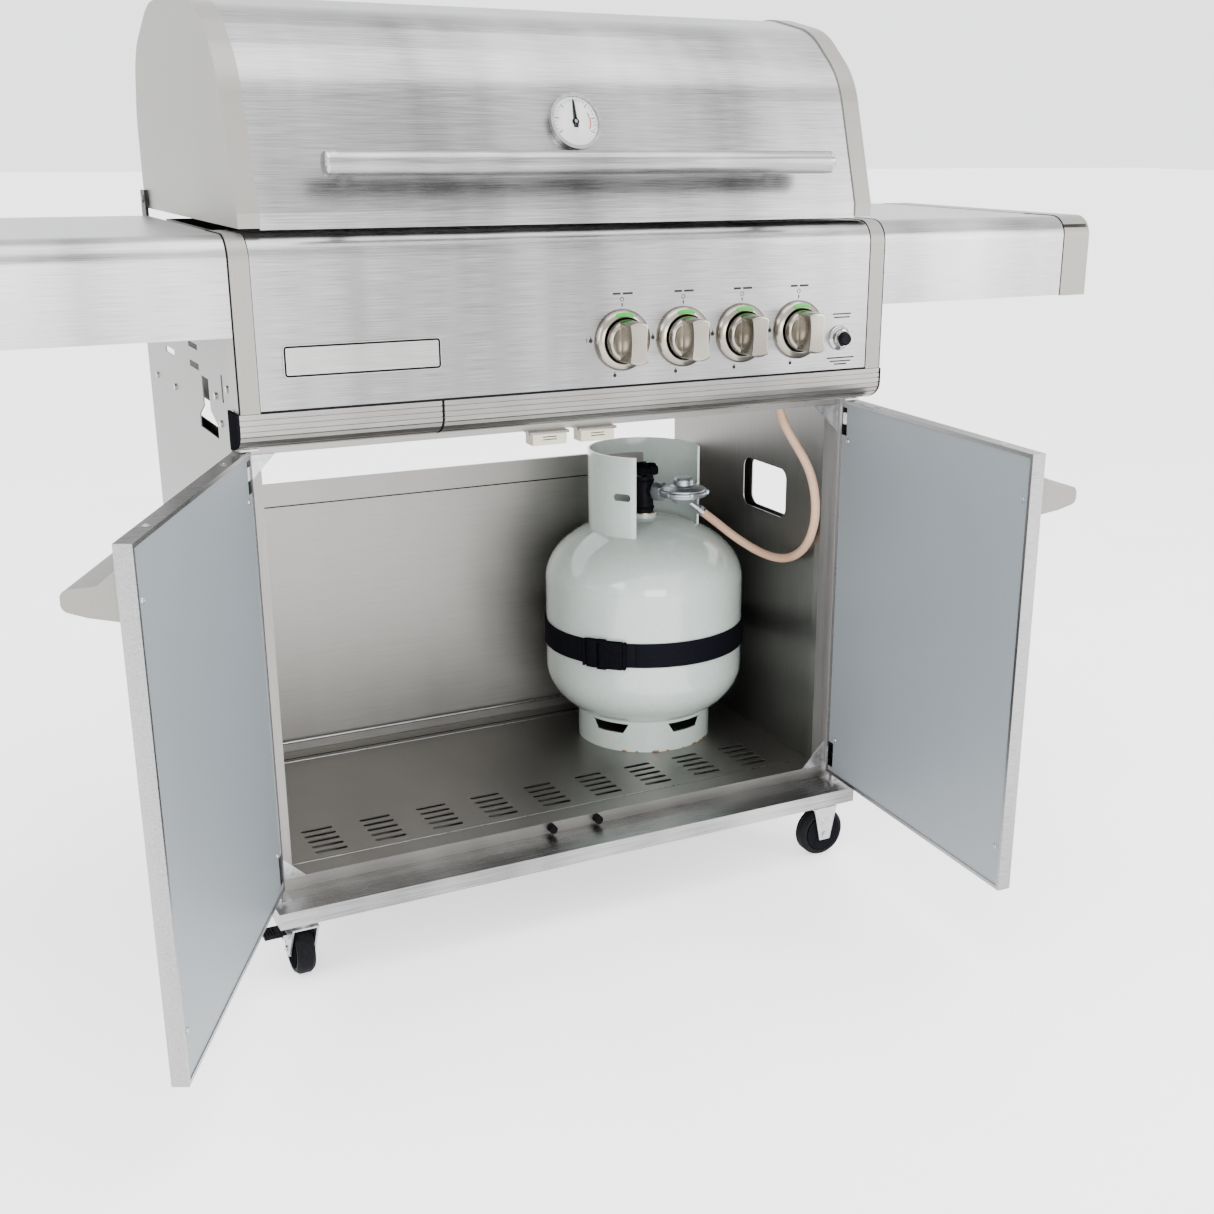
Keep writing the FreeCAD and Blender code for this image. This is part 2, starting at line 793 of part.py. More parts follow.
def fascia_castings():
    """Cast end pieces of the control panel, and the hollow end caps of the shelves."""
    pieces = []
    front = -size.head_front - size.fascia_end_proud
    behind = -size.head_front + size.fascia_end_depth
    bend = size.panel_bend + size.fascia_end_proud
    wall = size.casting_wall
    seam = 0.5
    top, foot, step = panel_high + seam, panel_low - seam, panel_high - 24
    crown = wall + 8
    for side in SIDES:
        corner = (front, top)
        pieces.append(profile("YZ", [
            (front, foot), corner, (size.panel_top_depth, top), (size.panel_top_depth, step),
            (behind, step), (behind, foot)],
            *mirror_span(side, panel_half, fascia_half), [(bend, corner)]))
        low = panel_high - size.shelf_height - 1
        span = mirror_span(side, shelf_end, shelf_end + size.shelf_cap_length)
        rear = size.shelf_rear + size.fascia_end_proud
        back_corner = (rear, top)
        shell = profile("YZ", [(front, low), corner, back_corner, (rear, low)], *span,
                        [(bend, corner, back_corner)])
        hollow = box(mirror_span(side, shelf_end - 1, shelf_end + size.shelf_cap_length - wall),
                     (front + wall, rear - wall), (low - 1, panel_high - crown))
        pieces.append(cut(shell, hollow))
    finish("fascia_castings", *pieces)


def side_shelves():
    """Folded stainless shelves on each side of the head."""
    skin = size.sheet
    front, rear = -size.head_front, size.shelf_rear
    low = panel_high - size.shelf_height
    hem = 14
    corner, inner_corner = (front, panel_high), (front + skin, panel_high - skin)
    back_corner, inner_back = (rear, panel_high), (rear - skin, panel_high - skin)
    shelves = []
    for side in SIDES:
        shelves.append(profile("YZ", [
            (front, low), corner, back_corner, (rear, low), (rear - hem, low),
            (rear - hem, low + skin), (rear - skin, low + skin), inner_back, inner_corner,
            (front + skin, low + skin), (front + hem, low + skin), (front + hem, low)],
            *mirror_span(side, fascia_half, shelf_end),
            [(size.panel_bend, corner, back_corner),
             (size.panel_bend - skin, inner_corner, inner_back)]))
    finish("side_shelves", *shelves)


def trim_outline():
    """Ribbed section: a flat front that curves back under the head."""
    front = size.head_front
    bend_top = trim_high - size.trim_flat
    drop = bend_top - trim_low
    heel = 30
    run = front - heel
    flat_ribs, curved_ribs = 3, 6

    def on_flat(share, inset):
        return (-front + inset, trim_high - size.trim_flat * share)

    def on_curve(share, inset):
        turn = math.radians(90 * share)
        return (-heel - (run - inset) * math.cos(turn), bend_top - (drop - inset) * math.sin(turn))

    points = []
    for path, ribs in ((on_flat, flat_ribs), (on_curve, curved_ribs)):
        for rib in range(ribs):
            points.append(path((rib + 0.05) / ribs, 0))
            points.append(path((rib + 0.80) / ribs, 0))
            points.append(path((rib + 0.84) / ribs, size.trim_groove))
            points.append(path((rib + 1.00) / ribs, size.trim_groove))
    steps = 5
    for step in range(steps, -1, -1):
        points.append(on_curve(step / steps, size.trim_wall))
    points.append(on_flat(0.05, size.trim_wall))
    return points


def trim_and_tray():
    """The ribbed trim's fixed right part, and its left part on the pull-out grease tray."""
    split = -size.trim_split
    gap = size.trim_gap / 2
    outline = trim_outline()
    # the angle that screws the trim to the rail, clear of the doors' upper hinge plates
    angle_depth, angle_end = 30, hinge_side - 20
    angle_low = trim_low + 0.5
    shelf = box((split + gap, angle_end), (-angle_depth, 0), (angle_low, angle_low + size.trim_wall))
    finish("trim_rail", fuse(profile("YZ", outline, split + gap, trim_half), shelf))
    front = -size.head_front + size.trim_wall
    base = rail_high + 2
    high = base + size.tray_height
    near = front + 20
    web_inset = 6
    web = box((-tray_left + web_inset, -tray_left + size.tray_width - web_inset),
              (front, near), (trim_high - size.trim_flat + 1, high))
    finish("tray_front", group(profile("YZ", outline, -trim_half, split - gap)))
    left = -tray_left
    right = left + size.tray_width
    skin = size.sheet
    outer = box((left, right), (near, near + size.tray_length), (base, high))
    inner = box((left + skin, right - skin), (near + skin, near + size.tray_length - skin),
                (base + skin, high + skin))
    finish("drip_tray", fuse(cut(outer, inner), web))


# ---------------------------------------------------------------- controls and gas train


def bezels():
    """Domed bezel rings round the four taps, and the igniter's threaded housing."""
    bore, rim, depth = size.bezel_bore, size.bezel_radius, size.bezel_depth
    turn = FreeCAD.Rotation(FreeCAD.Vector(1, 0, 0), 90)
    pieces = []
    for index in range(4):
        ring = turned([(7, 0), (rim, 0), (rim, 3), (rim - 4, depth - 2), (rim - 8, depth),
                       (bore, depth), (bore, 2), (7, 2)])
        pieces.append(place(ring, knob_place(index), -size.head_front, knob_height, turn))
    button = size.igniter_button_radius + 0.3
    wide = size.igniter_radius
    housing = turned([(button, -20), (9.6, -20), (9.6, 0), (wide, 0), (wide, 3), (wide - 3, 6),
                      (12.5, 7), (12.5, 13), (button, 13)])
    pieces.append(place(housing, size.igniter_place, -size.head_front,
                        panel_low + size.igniter_level, turn))
    finish("panel_bezels", *pieces)


def knobs():
    """Round knobs with a thick grip bar, each on its own sliding tap stem."""
    front = -size.head_front
    bore = size.stem_radius + size.stem_clearance
    face = front - size.knob_reach
    run_out = 2.5
    back = front - size.stem_travel - run_out
    disc = back - size.knob_disc
    for index in range(4):
        spot = {"x": knob_place(index), "z": knob_height}
        base = rod("Y", size.knob_radius, disc, back, **spot)
        round_bar = rod("Y", size.knob_radius, face, back, **spot)
        half = size.knob_grip / 2
        slab = box((knob_place(index) - half, knob_place(index) + half), (face, back),
                   (knob_height - size.knob_radius, knob_height + size.knob_radius))
        hole = rod("Y", bore, disc - 12, back + 1, **spot)
        finish(f"knob_{index + 1}", cut(fuse(base, common(slab, round_bar)), hole))
        finish(f"tap_stem_{index + 1}", rod("Y", size.stem_radius, disc - 11, front + 18, **spot))
    housing_depth, finger_room = 13, 3
    nose = front - housing_depth - size.igniter_travel - finger_room
    button = rod("Y", size.igniter_button_radius, nose, front + 6,
                 x=size.igniter_place, z=panel_low + size.igniter_level)
    finish("igniter_button", button)


def burner_place(index):
    return size.burner_pitch * (index - 1.5)


def feed_level(index):
    return knob_height + size.valve_radius + size.feed_pipe_step * (index + 1)


def gas_train():
    """Manifold with its inlet pipe, and four taps, each with a pipe to its burner."""
    radius = size.manifold_radius
    along = -size.manifold_front
    inlet_x = size.inlet_place
    pipe, nut_radius, nut_length, port_radius = 6, 10, 16, 4
    turn_level = rail_high + 24
    nut_top = inlet_level + nut_length
    main = rod("X", radius, size.knob_first - 22, inlet_x + 8, y=along, z=knob_height)
    drop = rod("Z", pipe, turn_level, knob_height, x=inlet_x, y=along)
    back_run = rod("Y", pipe, along, size.inlet_depth, x=inlet_x, z=turn_level)
    down = rod("Z", pipe, nut_top, turn_level, x=inlet_x, y=size.inlet_depth)
    elbows = [ball(pipe, inlet_x, along, turn_level),
              ball(pipe, inlet_x, size.inlet_depth, turn_level)]
    nut = rod("Z", nut_radius, inlet_level, nut_top, x=inlet_x, y=size.inlet_depth)
    ports = [rod("Y", port_radius, along - radius - 1, along, x=knob_place(index), z=knob_height)
             for index in range(4)]
    finish("gas_manifold", cut(fuse(main, drop, back_run, down, nut, *elbows), *ports))

    taps = []
    line = -size.head_front + 20
    feed = size.feed_pipe_radius
    for index in range(4):
        spot = {"x": knob_place(index), "z": knob_height}
        body = rod("Y", size.valve_radius, -size.head_front + 6, along - radius, **spot)
        nipple = rod("Y", port_radius, along - radius - 1, along, **spot)
        bore = rod("Y", size.stem_radius + size.stem_clearance, -size.head_front,
                   -size.head_front + 24, **spot)
        level = feed_level(index)
        target = burner_place(index)
        riser = rod("Z", feed, knob_height + 8, level, x=knob_place(index), y=line)
        run = rod("X", feed, target, knob_place(index), y=line, z=level)
        into = rod("Y", feed, line, size.firebox_front + 18, x=target, z=level)
        bends = [ball(feed, knob_place(index), line, level), ball(feed, target, line, level)]
        taps.append(cut(fuse(body, nipple, riser, run, into, *bends), bore))
    finish("gas_taps", *taps)


# ---------------------------------------------------------------- cooking head


def firebox():
    """Open-topped steel box with grate ledges, tray runners and the hood's hinge lugs."""
    wall = size.firebox_wall
    half, front, rear = firebox_half, size.firebox_front, firebox_rear
    low, high = firebox_bottom, firebox_top
    shell = box((-half, half), (front, rear), (low, high))
    hollow = box((-half + wall, half - wall), (front + wall, rear - wall), (low + wall, high + wall))
    left = -tray_left
    right = left + size.tray_width
    outlet = box((left + 8, right - 8), (front + 38, rear - 60), (low - 1, low + wall + 1))
    pipe_holes = [rod("Y", size.feed_pipe_radius + 1, front - 1, front + wall + 1,
                      x=burner_place(index), z=feed_level(index)) for index in range(4)]
    ledges = [
        box((-half + wall, half - wall), (front + wall, front + 14),
            (grate_level - wall, grate_level)),
        box((-half + wall, half - wall), (rear - 14, rear - wall),
            (grate_level - wall, grate_level))]
    plate_top = side_plate_top
    hangers = []
    for side in SIDES:
        hangers.append(box(mirror_span(side, half, outer_wall - size.sheet),
                           (front, hood_hinge_y + 16), (plate_top - wall, plate_top)))
        lug = box(mirror_span(side, hood_half + size.hood_end_width + 2,
                              hood_half + size.hood_end_width + 6),
                  (hood_hinge_y - 14, hood_hinge_y + 14),
                  (plate_top - wall, hood_hinge_z + 12))
        hole = rod("X", size.hood_pin_radius + size.pin_clearance,
                   *mirror_span(side, hood_half + size.hood_end_width,
                                hood_half + size.hood_end_width + 9),
                   y=hood_hinge_y, z=hood_hinge_z)
        hangers.append(cut(lug, hole))
    runner_low = rail_high + 0.5
    for x_low, x_high, foot_low, foot_high in (
            (left - 3, left - 1, left - 3, left + 8), (right + 1, right + 3, right - 8, right + 3)):
        hangers.append(box((x_low, x_high), (front + 4, rear - 30), (runner_low, low)))
        hangers.append(box((foot_low, foot_high), (front + 4, rear - 30), (runner_low, runner_low + 1.2)))
    finish("firebox", fuse(cut(shell, hollow, outlet, *pipe_holes), *ledges, *hangers))


def burners():
    """Four pressed burner boxes, open below, and the angled plates that shield them."""
    wall = size.firebox_wall
    front, rear = size.firebox_front + 18, firebox_rear - wall
    low = feed_level(0) - size.feed_pipe_radius - 8
    high = low + size.burner_height
    boxes, tamers = [], []
    for index in range(4):
        centre = burner_place(index)
        half = size.burner_width / 2
        shell = box((centre - half, centre + half), (front, rear), (low, high))
        hollow = box((centre - half + wall, centre + half - wall), (front + wall, rear - wall),
                     (low - 1, high - wall))
        boxes.append(cut(shell, hollow))
        wide = size.tamer_width / 2
        eave = high + 6
        ridge = eave + size.tamer_rise
        tamers.append(profile("XZ", [
            (centre - wide, eave), (centre, ridge), (centre + wide, eave),
            (centre + wide, eave - wall), (centre, ridge - wall), (centre - wide, eave - wall)],
            size.firebox_front + wall, rear))
    finish("burners", *boxes)
    finish("flame_tamers", *tamers)


def cooking_grates():
    """Two cast grates, each a frame with bars from front to back."""
    bar = size.grate_bar
    low, high = grate_level, grate_level + size.grate_height
    front, rear = size.firebox_front + size.firebox_wall + 1, firebox_rear - size.firebox_wall - 1
    inside = firebox_half - size.firebox_wall - 1
    bars = 17
    grates = []
    for side in SIDES:
        pitch = (inside - 2 - bar) / (bars - 1)
        pieces = [box(mirror_span(side, 2 + pitch * index, 2 + pitch * index + bar),
                      (front, rear), (low, high)) for index in range(bars)]
        for start in (front, (front + rear - bar) / 2, rear - bar):
            pieces.append(box(mirror_span(side, 2, inside), (start, start + bar), (low, high - 3)))
        grates.append(fuse(*pieces))
    finish("cooking_grates", *grates)


# ---------------------------------------------------------------- hood


def hood_outline(inset):
    """Side view of the hood from its front lip over the top to its back edge."""
    low = hood_low
    top = low + size.hood_height
    front, rear = -size.hood_front, hood_rear
    return [
        (front + inset, low - inset), (front + inset, low + 18),
        (front + 50 + inset, top - 80 - inset / 2), (front + 122 + inset / 2, top - 20 - inset),
        (front + 222, top - inset), (rear - 140, top - 3 - inset),
        (rear - 30 - inset / 2, top - 56 - inset), (rear - inset, top - 136), (rear - inset, low - inset)]


def hood_profile(inset, low, high):
    points = hood_outline(as_size(inset))
    shoulders = [(110, points[2], points[3]), (150, points[4], points[5]), (90, points[6], points[7])]
    return profile("YZ", points, low, high, shoulders)


def hood():
    """Rolled hood skin between two cast ends, with its handle and thermometer."""
    half = hood_half
    wall = size.hood_wall
    shell = cut(hood_profile(0, -half, half), hood_profile(wall, -half - 1, half + 1))
    gauge_y, gauge_z, tilt = gauge_seat()
    seat_turn = FreeCAD.Rotation(FreeCAD.Vector(1, 0, 0), 90 - tilt)
    hole = place(turned([(0, -12), (5, -12), (5, 12), (0, 12)]), 0, gauge_y, gauge_z, seat_turn)
    finish("hood_shell", cut(shell, hole))

    ends = []
    for side in SIDES:
        plate = hood_profile(-2, *mirror_span(side, half, half + size.hood_end_width))
        relief = hood_profile(6, *mirror_span(side, half - 1, half + size.hood_end_width - 5))
        pin = rod("X", size.hood_pin_radius,
                  *mirror_span(side, half + size.hood_end_width - 6, half + size.hood_end_width + 8),
                  y=hood_hinge_y, z=hood_hinge_z)
        ends.append(fuse(cut(plate, relief), pin))
    finish("hood_ends", *ends)

    level = hood_low + 72
    skin_y = -size.hood_front + 50 * (level - hood_low - 18) \
        / (size.hood_height - 98)
    centre_y = skin_y - size.handle_reach
    tube = rod("X", size.handle_radius, -handle_half, handle_half, y=centre_y, z=level)
    # each stand is cut off on the slope of the skin, which it is screwed against
    stands = [rod("Y", 9, centre_y, skin_y + 5, x=side * (handle_half - 40), z=level)
              for side in SIDES]
    finish("hood_handle", cut(fuse(tube, *stands), hood_profile(0, -half, half)))

    rim = size.gauge_radius
    case = turned([(0, -8), (4.5, -8), (4.5, 0), (rim, 0), (rim, 9), (rim - 4, 9), (rim - 4, 5),
                   (2, 5), (2, 7.5), (0, 7.5)])
    finish("thermometer", place(case, 0, gauge_y, gauge_z, seat_turn))
    needle = profile("XY", [(-3, -7), (3, -7), (1.2, rim - 8), (-1.2, rim - 8)], 5.4, 6.4)
    hub_hole = rod("Z", 2 + size.pin_clearance, 5, 7)
    hub = rod("Z", 4.5, 5.4, 6.4)
    pointer = cut(fuse(needle, hub), hub_hole)
    finish("thermometer_needle", place(pointer, 0, gauge_y, gauge_z, seat_turn))


def gauge_seat():
    """Where the thermometer's back meets the sloping front of the hood."""
    points = hood_outline(as_size(0))
    low, high = points[1], points[2]
    tilt = math.degrees(math.atan2((high[0] - low[0]).number, (high[1] - low[1]).number))
    share = 0.62
    standoff = 0.5
    y = low[0] + (high[0] - low[0]) * share - standoff
    z = low[1] + (high[1] - low[1]) * share
    return y, z, tilt


# ---------------------------------------------------------------- gas cylinder and its fittings


def dome(radius, height, level):
    """Half-height ellipsoid used for a pressure vessel's end."""
    solid = doc.addObject("Part::Ellipsoid", "Dome")
    bind(solid, "Radius1", height)
    bind(solid, "Radius2", radius)
    bind(solid, "Radius3", radius)
    return place(solid, cylinder_x, cylinder_y, level)


def oblong(angle, low_radius, high_radius, half_length, level, half_height):
    """A rounded window cut radially through a ring at an angle about the cylinder."""
    corners = [(-half_length, level - half_height), (half_length, level - half_height),
               (half_length, level + half_height), (-half_length, level + half_height)]
    cutter = profile("YZ", corners, low_radius, high_radius, [(half_height - 0.2, *corners)])
    turn = FreeCAD.Rotation(FreeCAD.Vector(0, 0, 1), angle)
    return place(cutter, cylinder_x, cylinder_y, 0, turn)


def foot_window(angle, level):
    """A slant-ended drain window cut radially through the foot ring."""
    half_top, half_sill, half_height = 33, 24, 8
    cutter = profile("YZ", [
        (-half_sill, level - half_height), (half_sill, level - half_height),
        (half_top, level + half_height), (-half_top, level + half_height)],
        size.foot_radius - 12, size.foot_radius + 8)
    turn = FreeCAD.Rotation(FreeCAD.Vector(0, 0, 1), angle)
    return place(cutter, cylinder_x, cylinder_y, 0, turn)


def gas_cylinder():
    """Welded steel gas bottle: two domed ends, a foot ring and a valve collar."""
    at = {"x": cylinder_x, "y": cylinder_y}
    wall = size.cylinder_wall
    radius, height = size.cylinder_radius, size.cylinder_head
    low_join = floor_top + size.cylinder_lift + height
    high_join = low_join + size.cylinder_straight
    top = high_join + height
    outer = [rod("Z", radius, low_join, high_join, **at),
             dome(radius, height, low_join), dome(radius, height, high_join)]
    inner = [rod("Z", radius - wall, low_join, high_join, **at),
             dome(radius - wall, height - wall, low_join),
             dome(radius - wall, height - wall, high_join)]
    neck = rod("Z", 20, top - 6, top + 6, **at)
    bore = rod("Z", 11, top - 20, top + 7, **at)
    foot = cut(rod("Z", size.foot_radius, floor_top, low_join - 40, **at),
               rod("Z", size.foot_radius - wall, floor_top - 1, low_join, **at))
    collar_top = floor_top + size.collar_height
    collar_sweep = 255
    collar_start = -20
    ring = rod("Z", size.collar_radius, high_join + 60, collar_top, sweep=collar_sweep, **at)
    ring.Placement = FreeCAD.Placement(
        ring.Placement.Base, FreeCAD.Rotation(FreeCAD.Vector(0, 0, 1), collar_start))
    collar = cut(ring, rod("Z", size.collar_radius - wall, high_join + 40, collar_top + 1, **at))
    windows = [foot_window(angle, floor_top + 38) for angle in (-78, -148, 32, 122)]
    grips = [oblong(-140, size.collar_radius - 12, size.collar_radius + 8, 14,
                    collar_top - 62, 6),
             oblong(90, size.collar_radius - 12, size.collar_radius + 8, 45, collar_top - 36, 12)]
    steel = fuse(*outer, neck, cut(foot, *windows), cut(collar, *grips))
    finish("gas_cylinder", cut(steel, *inner, bore))
    return top


def cylinder_fittings(top):
    """Cylinder valve, its handwheel, the regulator on its outlet, and the strap."""
    at = {"x": cylinder_x, "y": cylinder_y}
    body = rod("Z", 15, top + 6, top + 64, **at)
    plug = rod("Z", 11, top - 14, top + 6, **at)
    stem = rod("Z", 4, top + 64, top + 86, **at)
    outlet_level = top + 42
    outlet_angle = -60
    outlet_turn = FreeCAD.Rotation(FreeCAD.Vector(0, 0, 1), outlet_angle).multiply(TURNS["X"])
    across = math.cos(math.radians(outlet_angle))
    along = math.sin(math.radians(outlet_angle))

    def outlet_spot(distance, rise=0):
        return {"x": cylinder_x + distance * across,
                "y": cylinder_y + distance * along, "z": outlet_level + rise}

    outlet = place(rod("Z", 11, 0, 24), turn=outlet_turn, **outlet_spot(0))
    finish("cylinder_valve", fuse(body, plug, stem, outlet))

    lobes = [rod("Z", 10, top + 67, top + 83,
                 x=cylinder_x + 15 * math.cos(math.radians(angle)),
                 y=cylinder_y + 15 * math.sin(math.radians(angle)))
             for angle in (30, 150, 270)]
    hub = rod("Z", 14, top + 67, top + 83, **at)
    bore = rod("Z", 4 + size.stem_clearance, top + 66, top + 88, **at)
    finish("cylinder_handwheel", cut(fuse(hub, *lobes), bore))

    nut = place(turned([(0, 0), (15, 0), (15, 10), (0, 10)]), turn=outlet_turn, **outlet_spot(24))
    disc = place(turned([
        (0, -16), (14, -16), (22, -6), (36, -4), (37, 0), (36, 4), (26, 9), (14, 12), (14, 22),
        (12, 24), (0, 24)]), **outlet_spot(72, 4))
    neck = place(rod("Z", 8, 0, 30), turn=outlet_turn, **outlet_spot(30))
    start, following = hose_route()[:2]
    heading = following - start
    heading.normalize()
    barb_length = 34
    # the barb's root lies on the regulator body and its tip meets the hose's end
    root = {"x": cylinder_x + 45.318, "y": cylinder_y - 41.576, "z": outlet_level - 7.704}
    barb = rod("Z", size.hose_radius - 1.5, 0, barb_length)
    place(barb, turn=FreeCAD.Rotation(FreeCAD.Vector(0, 0, 1), heading), **root)
    knuckle = ball(9, **root)
    finish("gas_regulator", fuse(nut, disc, neck, barb, knuckle))

    low = floor_top + size.strap_level - size.strap_width / 2
    inner = size.cylinder_radius + size.strap_gap
    band = cut(rod("Z", inner + size.strap_thickness, low, low + size.strap_width, **at),
               rod("Z", inner, low - 1, low + size.strap_width + 1, **at))
    finish("cylinder_strap", band)


def hose_route():
    """Points the gas hose passes, from the regulator's outlet to the manifold's inlet."""
    points = [
        (320.6, 214.0, 505.0), (343.0, 203.0, 486.0), (368.0, 184.0, 462.0),
        (390.0, 152.0, 444.0), (402.0, 108.0, 440.0), (403.0, 62.0, 455.0),
        (399.0, 22.0, 484.0), (396.0, 0.0, 524.0), (393.0, -2.0, 566.0),
        (383.0, 3.0, 606.0), (366.0, 20.0, 643.0), (351.0, 34.0, 676.0),
        (346.0, 38.0, 712.0)]
    return [FreeCAD.Vector(*point) for point in points]


def rounded_path(points):
    """Straight runs joined by tangent arcs, each as large as its two runs allow."""
    share = 0.45
    edges = []
    start = points[0]
    for before, corner, after in zip(points, points[1:], points[2:]):
        arriving = corner - before
        leaving = after - corner
        turn = arriving.getAngle(leaving)
        trim = share * min(arriving.Length, leaving.Length)
        radius = trim / math.tan(turn / 2)
        arriving.normalize()
        leaving.normalize()
        enter = corner - arriving * trim
        leave = corner + leaving * trim
        inward = leaving - arriving
        inward.normalize()
        centre = corner + inward * math.hypot(radius, trim)
        towards = corner - centre
        towards.normalize()
        middle = centre + towards * radius
        edges.append(Part.LineSegment(start, enter).toShape())
        edges.append(Part.Arc(enter, middle, leave).toShape())
        print(f"hose bend radius {radius:.0f} mm, turn {math.degrees(turn):.0f} degrees")
        start = leave
    edges.append(Part.LineSegment(start, points[-1]).toShape())
    return Part.Wire(edges)


def gas_hose():
    """Rubber gas hose as one round tube along its real route."""
    points = hose_route()
    path = rounded_path(points)
    radius = size.hose_radius.number
    ring = Part.Wire([Part.makeCircle(radius, points[0], points[1] - points[0])])
    solid = path.makePipeShell([ring], True, False)
    expected = math.pi * radius ** 2 * path.Length
    print(f"hose length {path.Length:.0f} mm, volume ratio {solid.Volume / expected:.4f}")
    if abs(solid.Volume / expected - 1) > 0.01:
        raise ValueError("the hose's solid is not its section along its path")
    tube = doc.addObject("Part::Feature", "HoseTube")
    tube.Shape = solid
    finish("gas_hose", tube)


# ---------------------------------------------------------------- casters


def wheel(name, x, y, axis):
    """Moulded wheel with a rounded tread, bored to run on its axle."""
    rim, half = size.wheel_radius, size.wheel_width / 2
    bore = size.axle_radius + size.axle_clearance
    solid = turned([
        (bore, -half - 1), (bore + 5, -half - 1), (bore + 5, -half + 3), (rim - 10, -half + 3),
        (rim - 8, -half), (rim - 4, -half), (rim, -half + 5), (rim, half - 5), (rim - 4, half),
        (rim - 8, half), (rim - 10, half - 3), (bore + 5, half - 3), (bore + 5, half + 1),
        (bore, half + 1)])
    finish(name, place(solid, x, y, rim, TURNS[axis]))


def fork(x, y, wheel_y, axis, top):
    """Two side plates, a crown and the axle of one caster."""
    half = size.wheel_width / 2 + size.fork_gap
    plate = size.fork_plate
    radius = size.wheel_radius
    crown_low = 2 * radius + 4
    pieces = []
    for side in SIDES:
        span = mirror_span(side, half, half + plate)
        if axis == "X":
            leg = profile("YZ", [(y - 18, crown_low + plate), (y + 18, crown_low + plate),
                                 (wheel_y + 9, radius - 9), (wheel_y - 9, radius - 9)],
                          x + span[0], x + span[1])
        else:
            leg = profile("XZ", [(x - 20, crown_low + plate), (x + 20, crown_low + plate),
                                 (x + 9, radius - 9), (x - 9, radius - 9)],
                          y + span[0], y + span[1])
        pieces.append(leg)
    reach = half + plate
    if axis == "X":
        crown = box((x - reach, x + reach), (y - 18, y + 18), (crown_low, crown_low + plate))
        axle = rod("X", size.axle_radius, x - reach - 2, x + reach + 2, y=wheel_y, z=radius)
    else:
        crown = box((x - 20, x + 20), (y - reach, y + reach), (crown_low, crown_low + plate))
        axle = rod("Y", size.axle_radius, y - reach - 2, y + reach + 2, x=x, z=radius)
    stem = rod("Z", 14, crown_low, top, x=x, y=y)
    return fuse(*pieces, crown, axle, stem)


def casters():
    """Two fixed casters on the right, and two braked swivel casters on the left."""
    ceiling = base_top - size.sheet
    plate_low = ceiling - size.fork_plate
    half = size.caster_plate / 2
    mounts = []
    side = caster_side
    for name, y in (("front", -size.fixed_caster_front), ("rear", caster_rear)):
        plate = box((side - half, side + half), (y - half, y + half), (plate_low, ceiling))
        mounts.append(fuse(fork(side, y, y, "Y", ceiling), plate))
        wheel(f"wheel_right_{name}", side, y, "Y")
    pedal_reach = size.wheel_width / 2 + size.fork_gap + size.fork_plate
    for name, y in (("front", -size.swivel_front), ("rear", caster_rear)):
        wheel_y = y + size.caster_trail
        left = -side
        plate = box((left - half, left + half), (y - half, y + half), (plate_low, ceiling))
        king_pin = rod("Z", 5, plate_low - 10, plate_low, x=left, y=y)
        mounts.append(fuse(plate, king_pin))
        bore = rod("Z", 5 + size.axle_clearance, plate_low - 20, plate_low + 1, x=left, y=y)
        hinge_x = left - pedal_reach - 4.6
        pivot = {"x": hinge_x, "z": 62}
        hinge_pin = rod("Y", 2, wheel_y - 17, wheel_y + 17, **pivot)
        lugs = [box((hinge_x - 3, left - pedal_reach), (start, start + 2.5), (59, 65))
                for start in (wheel_y - 17, wheel_y + 14.5)]
        frame = fuse(fork(left, y, wheel_y, "X", plate_low - 0.4), hinge_pin, *lugs)
        finish(f"caster_fork_{name}", cut(frame, bore))
        wheel(f"wheel_left_{name}", left, wheel_y, "X")
        arm = box((hinge_x - 26, hinge_x + 2), (wheel_y - 14, wheel_y + 14), (62, 66))
        knuckle = rod("Y", 4, wheel_y - 14, wheel_y + 14, **pivot)
        pin_bore = rod("Y", 2 + size.axle_clearance, wheel_y - 15, wheel_y + 15, **pivot)
        finish(f"brake_lever_{name}", cut(fuse(arm, knuckle), pin_bore))
    finish("caster_mounts", *mounts)


# ---------------------------------------------------------------- fasteners


def screws():
    """Pan-head screws of the upper side plates and bolt heads of the fixed casters."""
    heads = []
    for side in SIDES:
        for y, rise in ((57, 53), (-7, 70), (39, 22), (300, 30), (420, 30)):
            span = mirror_span(side, outer_wall, outer_wall + 2.5)
            heads.append(rod("X", 4.5, *span, y=y, z=wall_top + rise))
    finish("screws", *heads)


base_tray()
cabinet_floor()
side_walls()
upper_side_plates()
back_panel()
front_rail()
cabinet_brackets()
magnetic_catches()
door_bumpers()
door("left", -1, -size.left_door_open)
door("right", 1, size.right_door_open)
control_panel()
fascia_castings()
side_shelves()
trim_and_tray()
bezels()
knobs()
gas_train()
firebox()
burners()
cooking_grates()
hood()
cylinder_fittings(gas_cylinder())
gas_hose()
casters()
screws()

# ---------------------------------------------------------------- check and write

doc.recompute()
for thing in doc.Objects:
    if "Invalid" in thing.State or "Error" in thing.State:
        raise ValueError(f"{thing.Name} ({thing.Label}) failed: {thing.State}")
os.makedirs("parts", exist_ok=True)
for piece in nodes:
    if piece.Shape.isNull() or not piece.Shape.isValid() or not piece.Shape.Solids:
        raise ValueError(f"{piece.Label} has no valid shape")
for piece in nodes:
    piece.Shape.exportStep(f"parts/{piece.Label}.step")
print(f"{len(nodes)} sub-parts written")
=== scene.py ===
import math

import bmesh
import bpy
from mathutils import Matrix, Vector


